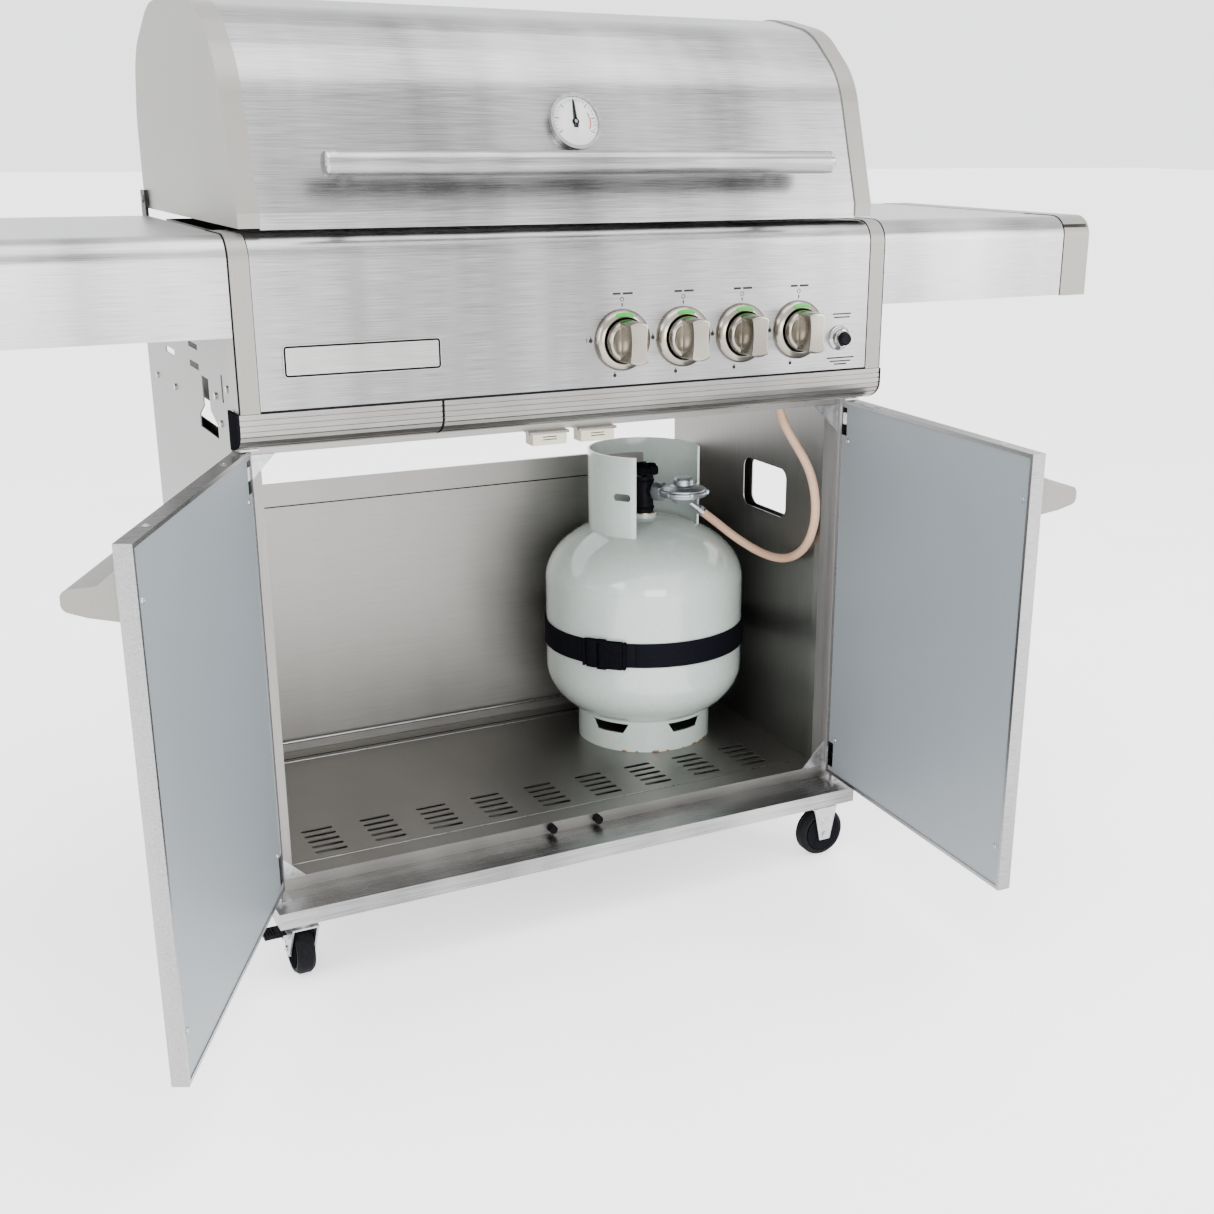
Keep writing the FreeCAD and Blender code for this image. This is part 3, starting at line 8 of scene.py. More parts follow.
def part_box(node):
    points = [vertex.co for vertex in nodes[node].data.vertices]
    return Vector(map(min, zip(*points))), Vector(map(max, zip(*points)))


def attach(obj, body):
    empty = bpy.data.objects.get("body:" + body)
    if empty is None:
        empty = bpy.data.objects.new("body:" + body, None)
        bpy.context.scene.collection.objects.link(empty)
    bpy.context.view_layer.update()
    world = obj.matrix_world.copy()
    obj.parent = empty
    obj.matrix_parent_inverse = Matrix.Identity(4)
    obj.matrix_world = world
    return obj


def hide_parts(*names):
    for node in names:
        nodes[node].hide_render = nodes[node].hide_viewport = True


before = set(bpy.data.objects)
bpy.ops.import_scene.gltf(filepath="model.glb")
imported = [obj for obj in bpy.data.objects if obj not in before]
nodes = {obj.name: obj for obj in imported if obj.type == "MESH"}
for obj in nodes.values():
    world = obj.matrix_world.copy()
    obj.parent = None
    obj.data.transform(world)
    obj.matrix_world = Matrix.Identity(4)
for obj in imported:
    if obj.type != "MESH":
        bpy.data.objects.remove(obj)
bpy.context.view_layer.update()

# ---------------------------------------------------------------- camera
# Eye level of a person standing back from the left front corner, looking down
# into the open cabinet.

camera_data = bpy.data.cameras.new("camera")
camera_data.lens = 46.0
camera_data.sensor_width = 36.0
camera_data.shift_x = -0.0572
camera_data.shift_y = 0.0344
camera = bpy.data.objects.new("camera", camera_data)
bpy.context.scene.collection.objects.link(camera)
EYE = (-0.845, -1.8653, 1.0655)
looks_right, looks_down, rolls = math.radians(28.634), math.radians(18.45), math.radians(0.5)
camera.matrix_world = (Matrix.Translation(EYE)
                       @ Matrix.Rotation(-looks_right, 4, "Z")
                       @ Matrix.Rotation(math.pi / 2 - looks_down, 4, "X")
                       @ Matrix.Rotation(rolls, 4, "Z"))
bpy.context.scene.camera = camera

# ---------------------------------------------------------------- gas hose
# The low-pressure rubber hose with a woven cover. It is pushed on the
# regulator's barb, sags in front of the right wall and rises to the gas inlet.

HOSE_RADIUS = 0.0065
# places are drawn from the cabinet's front edge; the frame's origin is this far behind it
FRAME_SHIFT = -0.014564
HOSE_ROUTE = [
    (0.3206, 0.214, 0.505), (0.343, 0.203, 0.486), (0.368, 0.184, 0.462),
    (0.390, 0.152, 0.444), (0.402, 0.108, 0.440), (0.403, 0.062, 0.455),
    (0.399, 0.022, 0.484), (0.396, 0.000, 0.524), (0.393, -0.002, 0.566),
    (0.383, 0.003, 0.606), (0.366, 0.020, 0.643), (0.351, 0.034, 0.676),
    (0.346, 0.038, 0.712)]


def start_finish(name, metallic, roughness):
    """A material with its shader, ready for a pattern."""
    material = bpy.data.materials.new(name)
    material.use_nodes = True
    shader = material.node_tree.nodes["Principled BSDF"]
    shader.inputs["Metallic"].default_value = metallic
    shader.inputs["Roughness"].default_value = roughness
    return material, shader


def mottled(name, dark, light, metallic=0.0, rough=(0.4, 0.5), stretch=(1, 1, 1), scale=60.0,
            bump=0.1, height=0.0005, cloud=4.0, cloud_share=0.4, coat=0.0, bands=(1, 1, 1)):
    """Two tones mixed by a fine grain and a slow cloud, with grain in the gloss and height."""
    material, shader = start_finish(name, metallic, sum(rough) / 2)
    add, link = material.node_tree.nodes.new, material.node_tree.links.new
    place = add("ShaderNodeTexCoord")
    mapping = add("ShaderNodeMapping")
    mapping.inputs["Scale"].default_value = stretch
    grain = add("ShaderNodeTexNoise")
    grain.inputs["Scale"].default_value = scale
    grain.inputs["Detail"].default_value = 4
    # slow clouds of tone; stretched by bands, as for the brushed sheets, they become painted
    # reflection bands
    spread = add("ShaderNodeMapping")
    spread.inputs["Scale"].default_value = bands
    clouds = add("ShaderNodeTexNoise")
    clouds.inputs["Scale"].default_value = cloud
    clouds.inputs["Detail"].default_value = 3
    blend = add("ShaderNodeMix")
    blend.inputs[0].default_value = cloud_share
    tones = add("ShaderNodeValToRGB")
    tones.color_ramp.elements[0].position = 0.3
    tones.color_ramp.elements[0].color = (*dark, 1)
    tones.color_ramp.elements[1].position = 0.7
    tones.color_ramp.elements[1].color = (*light, 1)
    gloss = add("ShaderNodeMapRange")
    gloss.inputs["From Min"].default_value = 0.3
    gloss.inputs["From Max"].default_value = 0.7
    gloss.inputs["To Min"].default_value = rough[0]
    gloss.inputs["To Max"].default_value = rough[1]
    relief = add("ShaderNodeBump")
    relief.inputs["Strength"].default_value = bump
    relief.inputs["Distance"].default_value = height
    link(place.outputs["Object"], mapping.inputs["Vector"])
    link(mapping.outputs[0], grain.inputs["Vector"])
    link(place.outputs["Object"], spread.inputs["Vector"])
    link(spread.outputs[0], clouds.inputs["Vector"])
    link(grain.outputs[0], blend.inputs[2])
    link(clouds.outputs[0], blend.inputs[3])
    link(blend.outputs[0], tones.inputs[0])
    link(tones.outputs[0], shader.inputs["Base Color"])
    link(blend.outputs[0], gloss.inputs[0])
    link(gloss.outputs[0], shader.inputs["Roughness"])
    link(grain.outputs[0], relief.inputs["Height"])
    link(relief.outputs[0], shader.inputs["Normal"])
    shader.inputs["Coat Weight"].default_value = coat
    if max(light) < 0.05:
        shader.inputs["Specular IOR Level"].default_value = 0.03
    return material


def dress(material, *names):
    """Gives CAD pieces their finish."""
    for name in names:
        for material_slot in nodes[name].material_slots:
            material_slot.material = material


hose_data = bpy.data.curves.new("gas_hose_line", "CURVE")
hose_data.dimensions = "3D"
hose_data.resolution_u = 12
hose_data.bevel_depth = HOSE_RADIUS
hose_data.bevel_resolution = 5
spline = hose_data.splines.new("NURBS")
spline.points.add(len(HOSE_ROUTE) - 1)
for point, (x, y, z) in zip(spline.points, HOSE_ROUTE):
    point.co = (x, y + FRAME_SHIFT, z, 1)
spline.order_u = 3
spline.use_endpoint_u = True
hose = bpy.data.objects.new("hose_cover", hose_data)
bpy.context.scene.collection.objects.link(hose)
hose_data.materials.append(mottled(
    "woven_hose", (0.36, 0.20, 0.12), (0.56, 0.38, 0.26), rough=(0.55, 0.75),
    scale=900, bump=0.5, height=0.0006, cloud=25, cloud_share=0.3))
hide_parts("gas_hose")
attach(hose, "cabinet")

# ---------------------------------------------------------------- studio
# A pale seamless floor, a big soft light overhead, one each side, and a weak
# fill from behind the camera.

FLOOR_SIZE = 80.0
bpy.ops.mesh.primitive_plane_add(size=FLOOR_SIZE)
floor = bpy.context.active_object
floor.name = "studio_floor"
paper = mottled("pale_floor", (0.86, 0.86, 0.86), (0.91, 0.91, 0.91), rough=(0.6, 0.7), scale=3,
                bump=0.0)
paper_shader = paper.node_tree.nodes["Principled BSDF"]
paper_shader.inputs["Emission Color"].default_value = (1.0, 1.0, 1.0, 1)
paper_shader.inputs["Emission Strength"].default_value = 1.0
floor.data.materials.append(paper)

world = bpy.data.worlds.new("studio_air")
world.use_nodes = True
world.node_tree.nodes["Background"].inputs["Color"].default_value = (0.97, 0.98, 1.0, 1)
world.node_tree.nodes["Background"].inputs["Strength"].default_value = 2.5
bpy.context.scene.world = world


def soft_light(name, place, aim, width, height, power):
    """A rectangular soft box that faces a point."""
    data = bpy.data.lights.new(name, "AREA")
    data.shape = "RECTANGLE"
    data.size, data.size_y, data.energy = width, height, power
    lamp = bpy.data.objects.new(name, data)
    bpy.context.scene.collection.objects.link(lamp)
    lamp.location = place
    lamp.rotation_euler = (Vector(aim) - Vector(place)).to_track_quat("-Z", "Y").to_euler()


soft_light("overhead_box", (0.2, -0.6, 3.2), (0, 0, 0.6), 3.0, 2.0, 80)
soft_light("left_box", (-3.0, -1.6, 1.7), (0, 0, 0.6), 1.2, 2.2, 60)
soft_light("right_box", (2.6, -2.6, 1.5), (0.1, 0, 0.6), 0.9, 2.2, 70)
soft_light("front_fill", (-0.7, -3.4, 1.0), (0.1, 0, 0.4), 1.6, 1.2, 60)

# ---------------------------------------------------------------- base and cabinet
# Folded stainless sheet, brushed along its length and left bare. The base tray
# carries the cabinet, whose floor and walls are spot welded and screwed.


def brushed(name, dark, light, along, rough, bump=0.12, bands=(1, 0.4, 0.12)):
    """Stainless sheet with long fine scratches along one axis, and slow vertical bands up it that are
    painted reflections of the studio lights.
    """
    stretch = {"X": (0.012, 1, 1), "Y": (1, 0.012, 1), "Z": (1, 1, 0.012)}[along]
    return mottled(name, dark, light, metallic=1.0, rough=rough, stretch=stretch, scale=1400,
                   bump=bump, height=0.0002, cloud=5.5, cloud_share=0.62, bands=bands)


# the wide gap between dark and light tone is mostly the painted reflection bands
stainless = brushed("brushed_stainless_painted_bands", (0.085, 0.085, 0.088), (0.44, 0.435, 0.43), "X",
                    (0.20, 0.36))
inner_steel = brushed("satin_inner_steel", (0.20, 0.192, 0.180), (0.31, 0.30, 0.282), "X",
                      (0.34, 0.48))
wall_steel = brushed("satin_wall_steel", (0.145, 0.140, 0.133), (0.265, 0.257, 0.245), "Z",
                     (0.34, 0.48))
zinc = mottled("zinc_plate", (0.30, 0.305, 0.31), (0.52, 0.52, 0.53), metallic=1.0,
               rough=(0.22, 0.42), scale=160, bump=0.08, cloud=30)
dress(stainless, "base_tray")
dress(inner_steel, "cabinet_floor", "back_panel", "front_rail")
dress(wall_steel, "side_walls", "upper_side_plates")
dress(zinc, "cabinet_brackets", "screws")

black_rubber = mottled("black_rubber", (0.002, 0.002, 0.003), (0.008, 0.008, 0.009),
                       rough=(0.55, 0.75), scale=300, bump=0.2)
dress(black_rubber, "door_bumpers")
dress(mottled("cream_plastic", (0.46, 0.42, 0.31), (0.60, 0.55, 0.43), rough=(0.4, 0.55),
              scale=220), "magnetic_catches")

# ---------------------------------------------------------------- catch plates
# Each magnet block hangs in a pressed steel strap and shows the edges of its two
# pole plates below; small screws hold the strap to the rail.


def pick_up(piece):
    """Makes a piece the only one selected."""
    bpy.ops.object.select_all(action="DESELECT")
    piece.select_set(True)
    bpy.context.view_layer.objects.active = piece


def set_down(piece):
    """Fixes a piece's place, turn and size in its mesh."""
    pick_up(piece)
    bpy.ops.object.transform_apply(location=True, rotation=True, scale=True)
    return piece


def mark(piece, kind, wanted):
    """In edit mode, selects just the "verts", "edges" or "faces" that pass a test."""
    bpy.ops.mesh.select_all(action="DESELECT")
    mesh = bmesh.from_edit_mesh(piece.data)
    for element in getattr(mesh, kind):
        element.select = wanted(element)
    if kind == "verts":
        mesh.select_flush_mode()
    bmesh.update_edit_mesh(piece.data)


def soften(piece, edge, segments=2, angle=35):
    """Rounds a piece's edges and smooths its shading."""
    pick_up(piece)
    if edge:
        bevel = piece.modifiers.new("rounded_edges", "BEVEL")
        bevel.width = edge
        bevel.segments = segments
        bevel.limit_method = "ANGLE"
        bevel.angle_limit = math.radians(angle)
        bpy.ops.object.modifier_apply(modifier=bevel.name)
    bpy.ops.object.shade_smooth_by_angle(angle=math.radians(angle))
    return piece


def block(name, low, high, edge=0.0004):
    """A bar or plate between two corners, with rounded edges."""
    bpy.ops.object.select_all(action="DESELECT")
    bpy.ops.mesh.primitive_cube_add(size=1, location=[(a + b) / 2 for a, b in zip(low, high)])
    piece = bpy.context.active_object
    piece.name = name
    piece.scale = [b - a for a, b in zip(low, high)]
    bpy.ops.object.transform_apply(location=True, rotation=True, scale=True)
    return soften(piece, edge)


def lathe(name, rings, sides=64, edge=0.0):
    """A disc extruded ring by ring along +Z; rings are (radius, height) in millimetres."""
    bpy.ops.object.select_all(action="DESELECT")
    radius, height = rings[0]
    bpy.ops.mesh.primitive_circle_add(
        vertices=sides, radius=radius / 1000, fill_type="NGON", location=(0, 0, height / 1000))
    piece = bpy.context.active_object
    piece.name = name
    bpy.ops.object.mode_set(mode="EDIT")
    for next_radius, next_height in rings[1:]:
        rise = (next_height - height) / 1000
        bpy.ops.mesh.extrude_region_move(TRANSFORM_OT_translate={"value": (0, 0, rise)})
        share = next_radius / radius
        bpy.ops.transform.resize(value=(share, share, 1), center_override=(0, 0, next_height / 1000))
        radius, height = next_radius, next_height
    bpy.ops.mesh.select_all(action="SELECT")
    bpy.ops.mesh.normals_make_consistent(inside=False)
    bpy.ops.object.mode_set(mode="OBJECT")
    bpy.ops.object.transform_apply(location=True, rotation=True, scale=True)
    return soften(piece, edge)


def stand(piece, place, axis=(0, 0, 1), turn=0.0):
    """Turns a piece's +Z to an axis, moves it to its place, and fixes both in its mesh."""
    heading = Vector((0, 0, 1)).rotation_difference(Vector(axis)).to_matrix().to_4x4()
    piece.matrix_world = Matrix.Translation(place) @ heading @ Matrix.Rotation(turn, 4, "Z")
    return set_down(piece)


def joined(name, pieces):
    """Several shells made one piece."""
    bpy.ops.object.select_all(action="DESELECT")
    for piece in pieces:
        piece.select_set(True)
    bpy.context.view_layer.objects.active = pieces[0]
    if len(pieces) > 1:
        bpy.ops.object.join()
    pieces[0].name = name
    return pieces[0]


def fit(piece, body, slot, *materials):
    """Gives a finished piece its materials and the body it rides on; its slot argument is not used."""
    if materials:
        piece.data.materials.clear()
        for material in materials:
            piece.data.materials.append(material)
    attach(piece, body)
    return piece


def carve(piece, tool, operation):
    """Cuts or trims a piece with a tool and throws the tool away."""
    pick_up(piece)
    change = piece.modifiers.new("carve", "BOOLEAN")
    change.operation = operation
    change.solver = "EXACT"
    change.object = tool
    bpy.ops.object.modifier_apply(modifier=change.name)
    bpy.data.objects.remove(tool)
    return piece


def pan_screw(name, place, axis, radius):
    """A low domed screw head with a cross recess sunk in it."""
    head = lathe(name, [(radius, 0), (radius, 0.6), (radius * 0.86, 1.7), (radius * 0.5, 2.3),
                        (radius * 0.2, 2.4)], sides=20)
    wide, thin, bottom, top = radius * 0.00055, radius * 0.00014, 0.0016, 0.0032
    arms = [block("arm", (-a, -b, bottom), (a, b, top), 0) for a, b in ((wide, thin), (thin, wide))]
    for arm in arms:
        carve(head, arm, "DIFFERENCE")
    return stand(head, place, axis)


CATCH_WIDTH, CATCH_MARGIN = 0.048, 0.003
POLE_THICK, POLE_STEP = 0.0012, 0.0035
STRAP_OVERHANG = 0.004
catch_low, catch_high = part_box("magnetic_catches")
lefts = (catch_low.x + CATCH_MARGIN, catch_high.x - CATCH_MARGIN - CATCH_WIDTH)
for index, left in enumerate(lefts, 1):
    # two pole plates seen in the magnet's front and a slot moulded between them
    face = catch_low.y + 0.0002
    levels = [catch_low.z + 0.0066 + POLE_STEP * step for step in range(2)]
    plates = [block("pole", (left + 0.014, face - 0.0006, level),
                    (left + 0.034, face + 0.002, level + POLE_THICK)) for level in levels]
    fit(joined(f"catch_poles_{index}", plates), "cabinet", "black_rubber", black_rubber)
    bracket = block(
        f"catch_bracket_{index}",
        (left - STRAP_OVERHANG, catch_low.y - 0.0005, catch_high.z - 0.0034),
        (left + CATCH_WIDTH + STRAP_OVERHANG, catch_low.y + 0.006, catch_high.z - 0.0002), 0.0006)
    fit(bracket, "cabinet", "zinc_steel", wall_steel)

# ---------------------------------------------------------------- painted fold highlights and joint shade
# The floor is folded down in front and behind, and the back panel stands on a rear strip. Along each
# fold a bright strip is laid as a painted highlight where light catches the bend, with a dark strip
# beside it as painted shade. One more dark strip is painted shade under the back panel's hem.

FLOOR_TOP = 0.1323
# dark finish for the painted shade strips
joint_shade_paint = mottled("joint_shadow", (0.004, 0.004, 0.005), (0.012, 0.012, 0.013),
                      rough=(0.6, 0.8), scale=300)
# painted highlights: bright zinc-coloured strips along the three folds
painted_highlight_lines = [
    block("fold", (-0.398, 0.0208, FLOOR_TOP - 0.0004), (0.398, 0.0220, FLOOR_TOP + 0.0003), 0.0002),
    block("fold", (-0.405, 0.3725, FLOOR_TOP - 0.0004), (0.405, 0.3743, FLOOR_TOP + 0.0005), 0.0003),
    block("fold", (-0.415, 0.4062, 0.1500), (0.415, 0.4102, 0.1524), 0.0006)]
fit(joined("painted_fold_highlights", painted_highlight_lines), "cabinet", "satin_steel", zinc)
# painted shade: dark strips beside the folds and under the back panel's hem
painted_shade_lines = [
    block("joint", (-0.398, 0.0198, FLOOR_TOP - 0.0004), (0.398, 0.0204, FLOOR_TOP + 0.0001), 0),
    block("joint", (-0.405, 0.3846, FLOOR_TOP - 0.0004), (0.405, 0.3868, FLOOR_TOP + 0.0002), 0),
    block("joint", (-0.415, 0.4090, 0.1484), (0.415, 0.4101, 0.1498), 0),
    block("joint", (-0.415, 0.4088, 0.5270), (0.415, 0.4101, 0.5284), 0)]
fit(joined("painted_joint_shade", painted_shade_lines), "cabinet", "satin_steel", joint_shade_paint)

# ---------------------------------------------------------------- doors
# Each door is a folded stainless skin with a painted steel liner set into its
# back, a cast pull, a fixed pin below and a sprung pin above.

liner_paint = mottled("blue_grey_liner", (0.140, 0.158, 0.172), (0.172, 0.190, 0.206),
                      rough=(0.35, 0.5), scale=700, bump=0.1, height=0.0001, cloud=2.5)
casting_paint = mottled("warm_grey_casting", (0.165, 0.158, 0.143), (0.225, 0.217, 0.198),
                        metallic=0.5, rough=(0.32, 0.46), scale=900, bump=0.08, height=0.0001)
white_plastic = mottled("white_nylon", (0.50, 0.50, 0.48), (0.66, 0.66, 0.64), rough=(0.35, 0.5))
for side in ("left", "right"):
    dress(stainless, f"{side}_door_skin")
    dress(liner_paint, f"{side}_door_liner")
    dress(casting_paint, f"{side}_door_handle")
    dress(white_plastic, f"{side}_hinge_pin")

# the side each door hangs on and how far it stands open, in degrees
HINGES = {"left": (-1, 117.6), "right": (1, -86.9)}
HINGE_X, HINGE_Y = 0.433, -0.022 + FRAME_SHIFT
DOOR_REACH, DOOR_LOW, DOOR_HIGH = 0.431, 0.127, 0.704
LINER_FACE, SCREW_INSET = 0.0081, 0.058


def on_door(side, along, depth, level):
    """A point on an open door: its distance from the hinge, its depth and its height."""
    way, opened = HINGES[side]
    angle = math.radians(-opened)
    x, y = -way * along, depth
    return Vector((way * HINGE_X + x * math.cos(angle) - y * math.sin(angle),
                   HINGE_Y + x * math.sin(angle) + y * math.cos(angle), level))


for side in ("left", "right"):
    inward = on_door(side, 0, 1, 0) - on_door(side, 0, 0, 0)
    heads = [pan_screw("screw", on_door(side, along, LINER_FACE, level), inward, 3.4)
             for along in (0.012, DOOR_REACH - 0.014)
             for level in (DOOR_HIGH - SCREW_INSET, DOOR_LOW + SCREW_INSET)]
    fit(joined(f"{side}_liner_screws", heads), f"{side}_door", "zinc_steel", zinc)
    # plated rivets that close the folded top edge
    rivets = [stand(lathe("rivet", [(4.6, 0), (4.6, 0.3), (3.6, 0.7), (2.2, 0.7), (1.9, 0.3)], 24),
                    on_door(side, along, 0, DOOR_HIGH)) for along in (0.075, 0.36)]
    fit(joined(f"{side}_door_rivets", rivets), f"{side}_door", "zinc_steel", zinc)

# ---------------------------------------------------------------- front of the head
# The control panel and shelves are brushed sheet rolled over at the top, held
# between painted castings; a ribbed aluminium trim runs below.

dress(stainless, "control_panel", "side_shelves")
dress(casting_paint, "fascia_castings")
anodised = brushed("anodised_trim", (0.15, 0.145, 0.135), (0.30, 0.29, 0.275), "X", (0.30, 0.42))
dress(anodised, "trim_rail", "tray_front")
dress(inner_steel, "drip_tray")

# ---------------------------------------------------------------- painted joint shadows
# Painted shadow: black rubber cords laid along the joints between castings, panel and shelves, and a
# black strip in the gap between panel and trim, stand in for the shadow in these gaps.

FRONT = -0.074 + FRAME_SHIFT
PANEL_LOW, PANEL_HIGH, PANEL_BEND = 0.756, 0.953, 0.028
PANEL_HALF, CASTING_HALF, TRIM_HALF = 0.419, 0.442, 0.443
SHELF_LOW, SHELF_HALF = 0.842, 0.761


def joint_shadow_line(name, x, radius, rear, low=PANEL_LOW):
    """A black cord for a joint's painted shadow, running up the front, round the bend and back along
    the top.
    """
    data = bpy.data.curves.new(name, "CURVE")
    data.dimensions = "3D"
    data.bevel_depth = radius
    data.bevel_resolution = 2
    line = data.splines.new("POLY")
    steps = 10
    path = [(FRONT, low)]
    for step in range(steps + 1):
        turn = math.pi / 2 * step / steps
        path.append((FRONT + PANEL_BEND * (1 - math.cos(turn)),
                     PANEL_HIGH - PANEL_BEND * (1 - math.sin(turn))))
    path.append((rear, PANEL_HIGH))
    line.points.add(len(path) - 1)
    for point, (y, z) in zip(line.points, path):
        point.co = (x, y, z, 1)
    seal = bpy.data.objects.new(name, data)
    bpy.context.scene.collection.objects.link(seal)
    pick_up(seal)
    bpy.ops.object.convert(target="MESH")
    return fit(bpy.context.active_object, "cabinet", "black_rubber", black_rubber)


# painted shadow lines at the casting, panel and cap joints
for side, way in (("left", -1), ("right", 1)):
    joint_shadow_line(f"{side}_shelf_shadow_line", way * CASTING_HALF, 0.0013, 0.02 + FRAME_SHIFT)
    joint_shadow_line(f"{side}_panel_seal", way * PANEL_HALF, 0.0009, 0.018 + FRAME_SHIFT)
    joint_shadow_line(f"{side}_cap_shadow_line", way * SHELF_HALF, 0.0010, 0.018 + FRAME_SHIFT, SHELF_LOW)
# painted shadow: a black strip in the shadow gap between panel and trim
under_panel_shadow = block("under_panel_seal", (-PANEL_HALF, FRONT - 0.0010, 0.7547),
                   (PANEL_HALF, FRONT + 0.004, 0.7575))
fit(under_panel_shadow, "cabinet", "black_rubber", black_rubber)

# ---------------------------------------------------------------- trim caps
# Moulded black caps close both ends of the ribbed trim, and a thin one divides
# the fixed length from the grease tray's front.

moulded_black = mottled("moulded_black", (0.002, 0.002, 0.003), (0.008, 0.008, 0.010),
                        rough=(0.32, 0.5), scale=420, bump=0.12, height=0.0002)
moulded_black.node_tree.nodes["Principled BSDF"].inputs["Specular IOR Level"].default_value = 0.0


def trim_cap(name, left, right, dish):
    """A quarter-round plate of the trim's section, with a shallow dish in its outer face."""
    heel, low, high, drop, run = -0.030 + FRAME_SHIFT, 0.709, 0.755, 0.026, 0.044
    bpy.ops.object.select_all(action="DESELECT")
    bpy.ops.mesh.primitive_cube_add(
        size=1, location=((left + right) / 2, heel - drop / 2, (low + high) / 2))
    cap = bpy.context.active_object
    cap.name = name
    cap.scale = (right - left, drop, high - low)
    bpy.ops.object.transform_apply(location=True, rotation=True, scale=True)
    bpy.ops.object.mode_set(mode="EDIT")
    mark(cap, "edges", lambda edge: all(
        v.co.y < heel - drop * 0.9 and v.co.z < low + 0.001 for v in edge.verts))
    bpy.ops.mesh.bevel(offset=drop * 0.995, segments=10, affect="EDGES")
    bpy.ops.mesh.select_all(action="SELECT")
    bpy.ops.transform.resize(value=(1, run / drop, 1), center_override=(0, heel, 0))
    if dish:
        outer = left if dish < 0 else right
        mark(cap, "faces", lambda face: all(abs(v.co.x - outer) < 1e-5 for v in face.verts))
        bpy.ops.mesh.inset(thickness=0.005, depth=-0.0012)
    bpy.ops.object.mode_set(mode="OBJECT")
    return soften(cap, 0.0004)


fit(trim_cap("left_trim_cap", -TRIM_HALF - 0.003, -TRIM_HALF + 0.0002, -1), "grease_tray",
    "black_plastic", moulded_black)
fit(trim_cap("right_trim_cap", TRIM_HALF - 0.0002, TRIM_HALF + 0.003, 1), "cabinet",
    "black_plastic", moulded_black)
fit(trim_cap("trim_divider", -0.1996, -0.1966, 0), "cabinet", "black_plastic", moulded_black)

# ---------------------------------------------------------------- badge
# A blank pressed plate with a raised bright rim and a dark inlaid line, riveted
# low on the left of the panel.

BADGE_LEFT, BADGE_RIGHT, BADGE_LOW, BADGE_HIGH = -0.389, -0.199, 0.7935, 0.831
BADGE_THICK = 0.0022
badge_steel = brushed("badge_steel", (0.22, 0.215, 0.205), (0.46, 0.455, 0.44), "X", (0.26, 0.38))


def badge():
    """The plate, its corners rounded and its face let in and raised again."""
    bpy.ops.object.select_all(action="DESELECT")
    bpy.ops.mesh.primitive_cube_add(size=1, location=(
        (BADGE_LEFT + BADGE_RIGHT) / 2, FRONT - BADGE_THICK / 2, (BADGE_LOW + BADGE_HIGH) / 2))
    plate = bpy.context.active_object
    plate.name = "badge_plate"
    plate.scale = (BADGE_RIGHT - BADGE_LEFT, BADGE_THICK, BADGE_HIGH - BADGE_LOW)
    bpy.ops.object.transform_apply(location=True, rotation=True, scale=True)
    bpy.ops.object.mode_set(mode="EDIT")
    mark(plate, "edges", lambda edge: (
        abs(edge.verts[0].co.y - edge.verts[1].co.y) > BADGE_THICK / 2))
    bpy.ops.mesh.bevel(offset=0.005, segments=6, affect="EDGES")
    mark(plate, "faces", lambda face: face.normal.y < -0.9)
    # bright rim, dark line let into it, and the brushed field
    plate.data.materials.append(badge_steel)
    plate.data.materials.append(moulded_black)
    bpy.ops.mesh.inset(thickness=0.0010, depth=0)
    bpy.ops.mesh.inset(thickness=0.0003, depth=-0.0006)
    plate.active_material_index = 1
    bpy.ops.object.material_slot_assign()
    bpy.ops.mesh.inset(thickness=0.0017, depth=0)
    bpy.ops.mesh.inset(thickness=0.0003, depth=0.0004)
    plate.active_material_index = 0
    bpy.ops.object.material_slot_assign()
    bpy.ops.object.mode_set(mode="OBJECT")
    return soften(plate, 0)


fit(badge(), "cabinet", "stainless")

# ---------------------------------------------------------------- controls
# Satin nickel die castings: bezel rings on the panel, knobs on the taps' stems,
# and a chromed housing for the black igniter button.

nickel = mottled("satin_nickel", (0.16, 0.145, 0.120), (0.36, 0.335, 0.290), metallic=1.0,
                 rough=(0.16, 0.26), scale=1600, bump=0.03, height=0.00005, cloud=9, cloud_share=0.7)
black_plastic = mottled("black_plastic", (0.002, 0.002, 0.003), (0.010, 0.010, 0.012),
                        rough=(0.28, 0.45), scale=350, bump=0.1, height=0.0002)
brass = mottled("turned_brass", (0.50, 0.36, 0.15), (0.72, 0.56, 0.28), metallic=1.0,
                rough=(0.22, 0.36), scale=240, bump=0.06)
KNOBS = [(0.043 + 0.0877 * index, FRONT, 0.8145) for index in range(4)]
FORWARD = (0, -1, 0)
KNOB_GAP = 0.0065


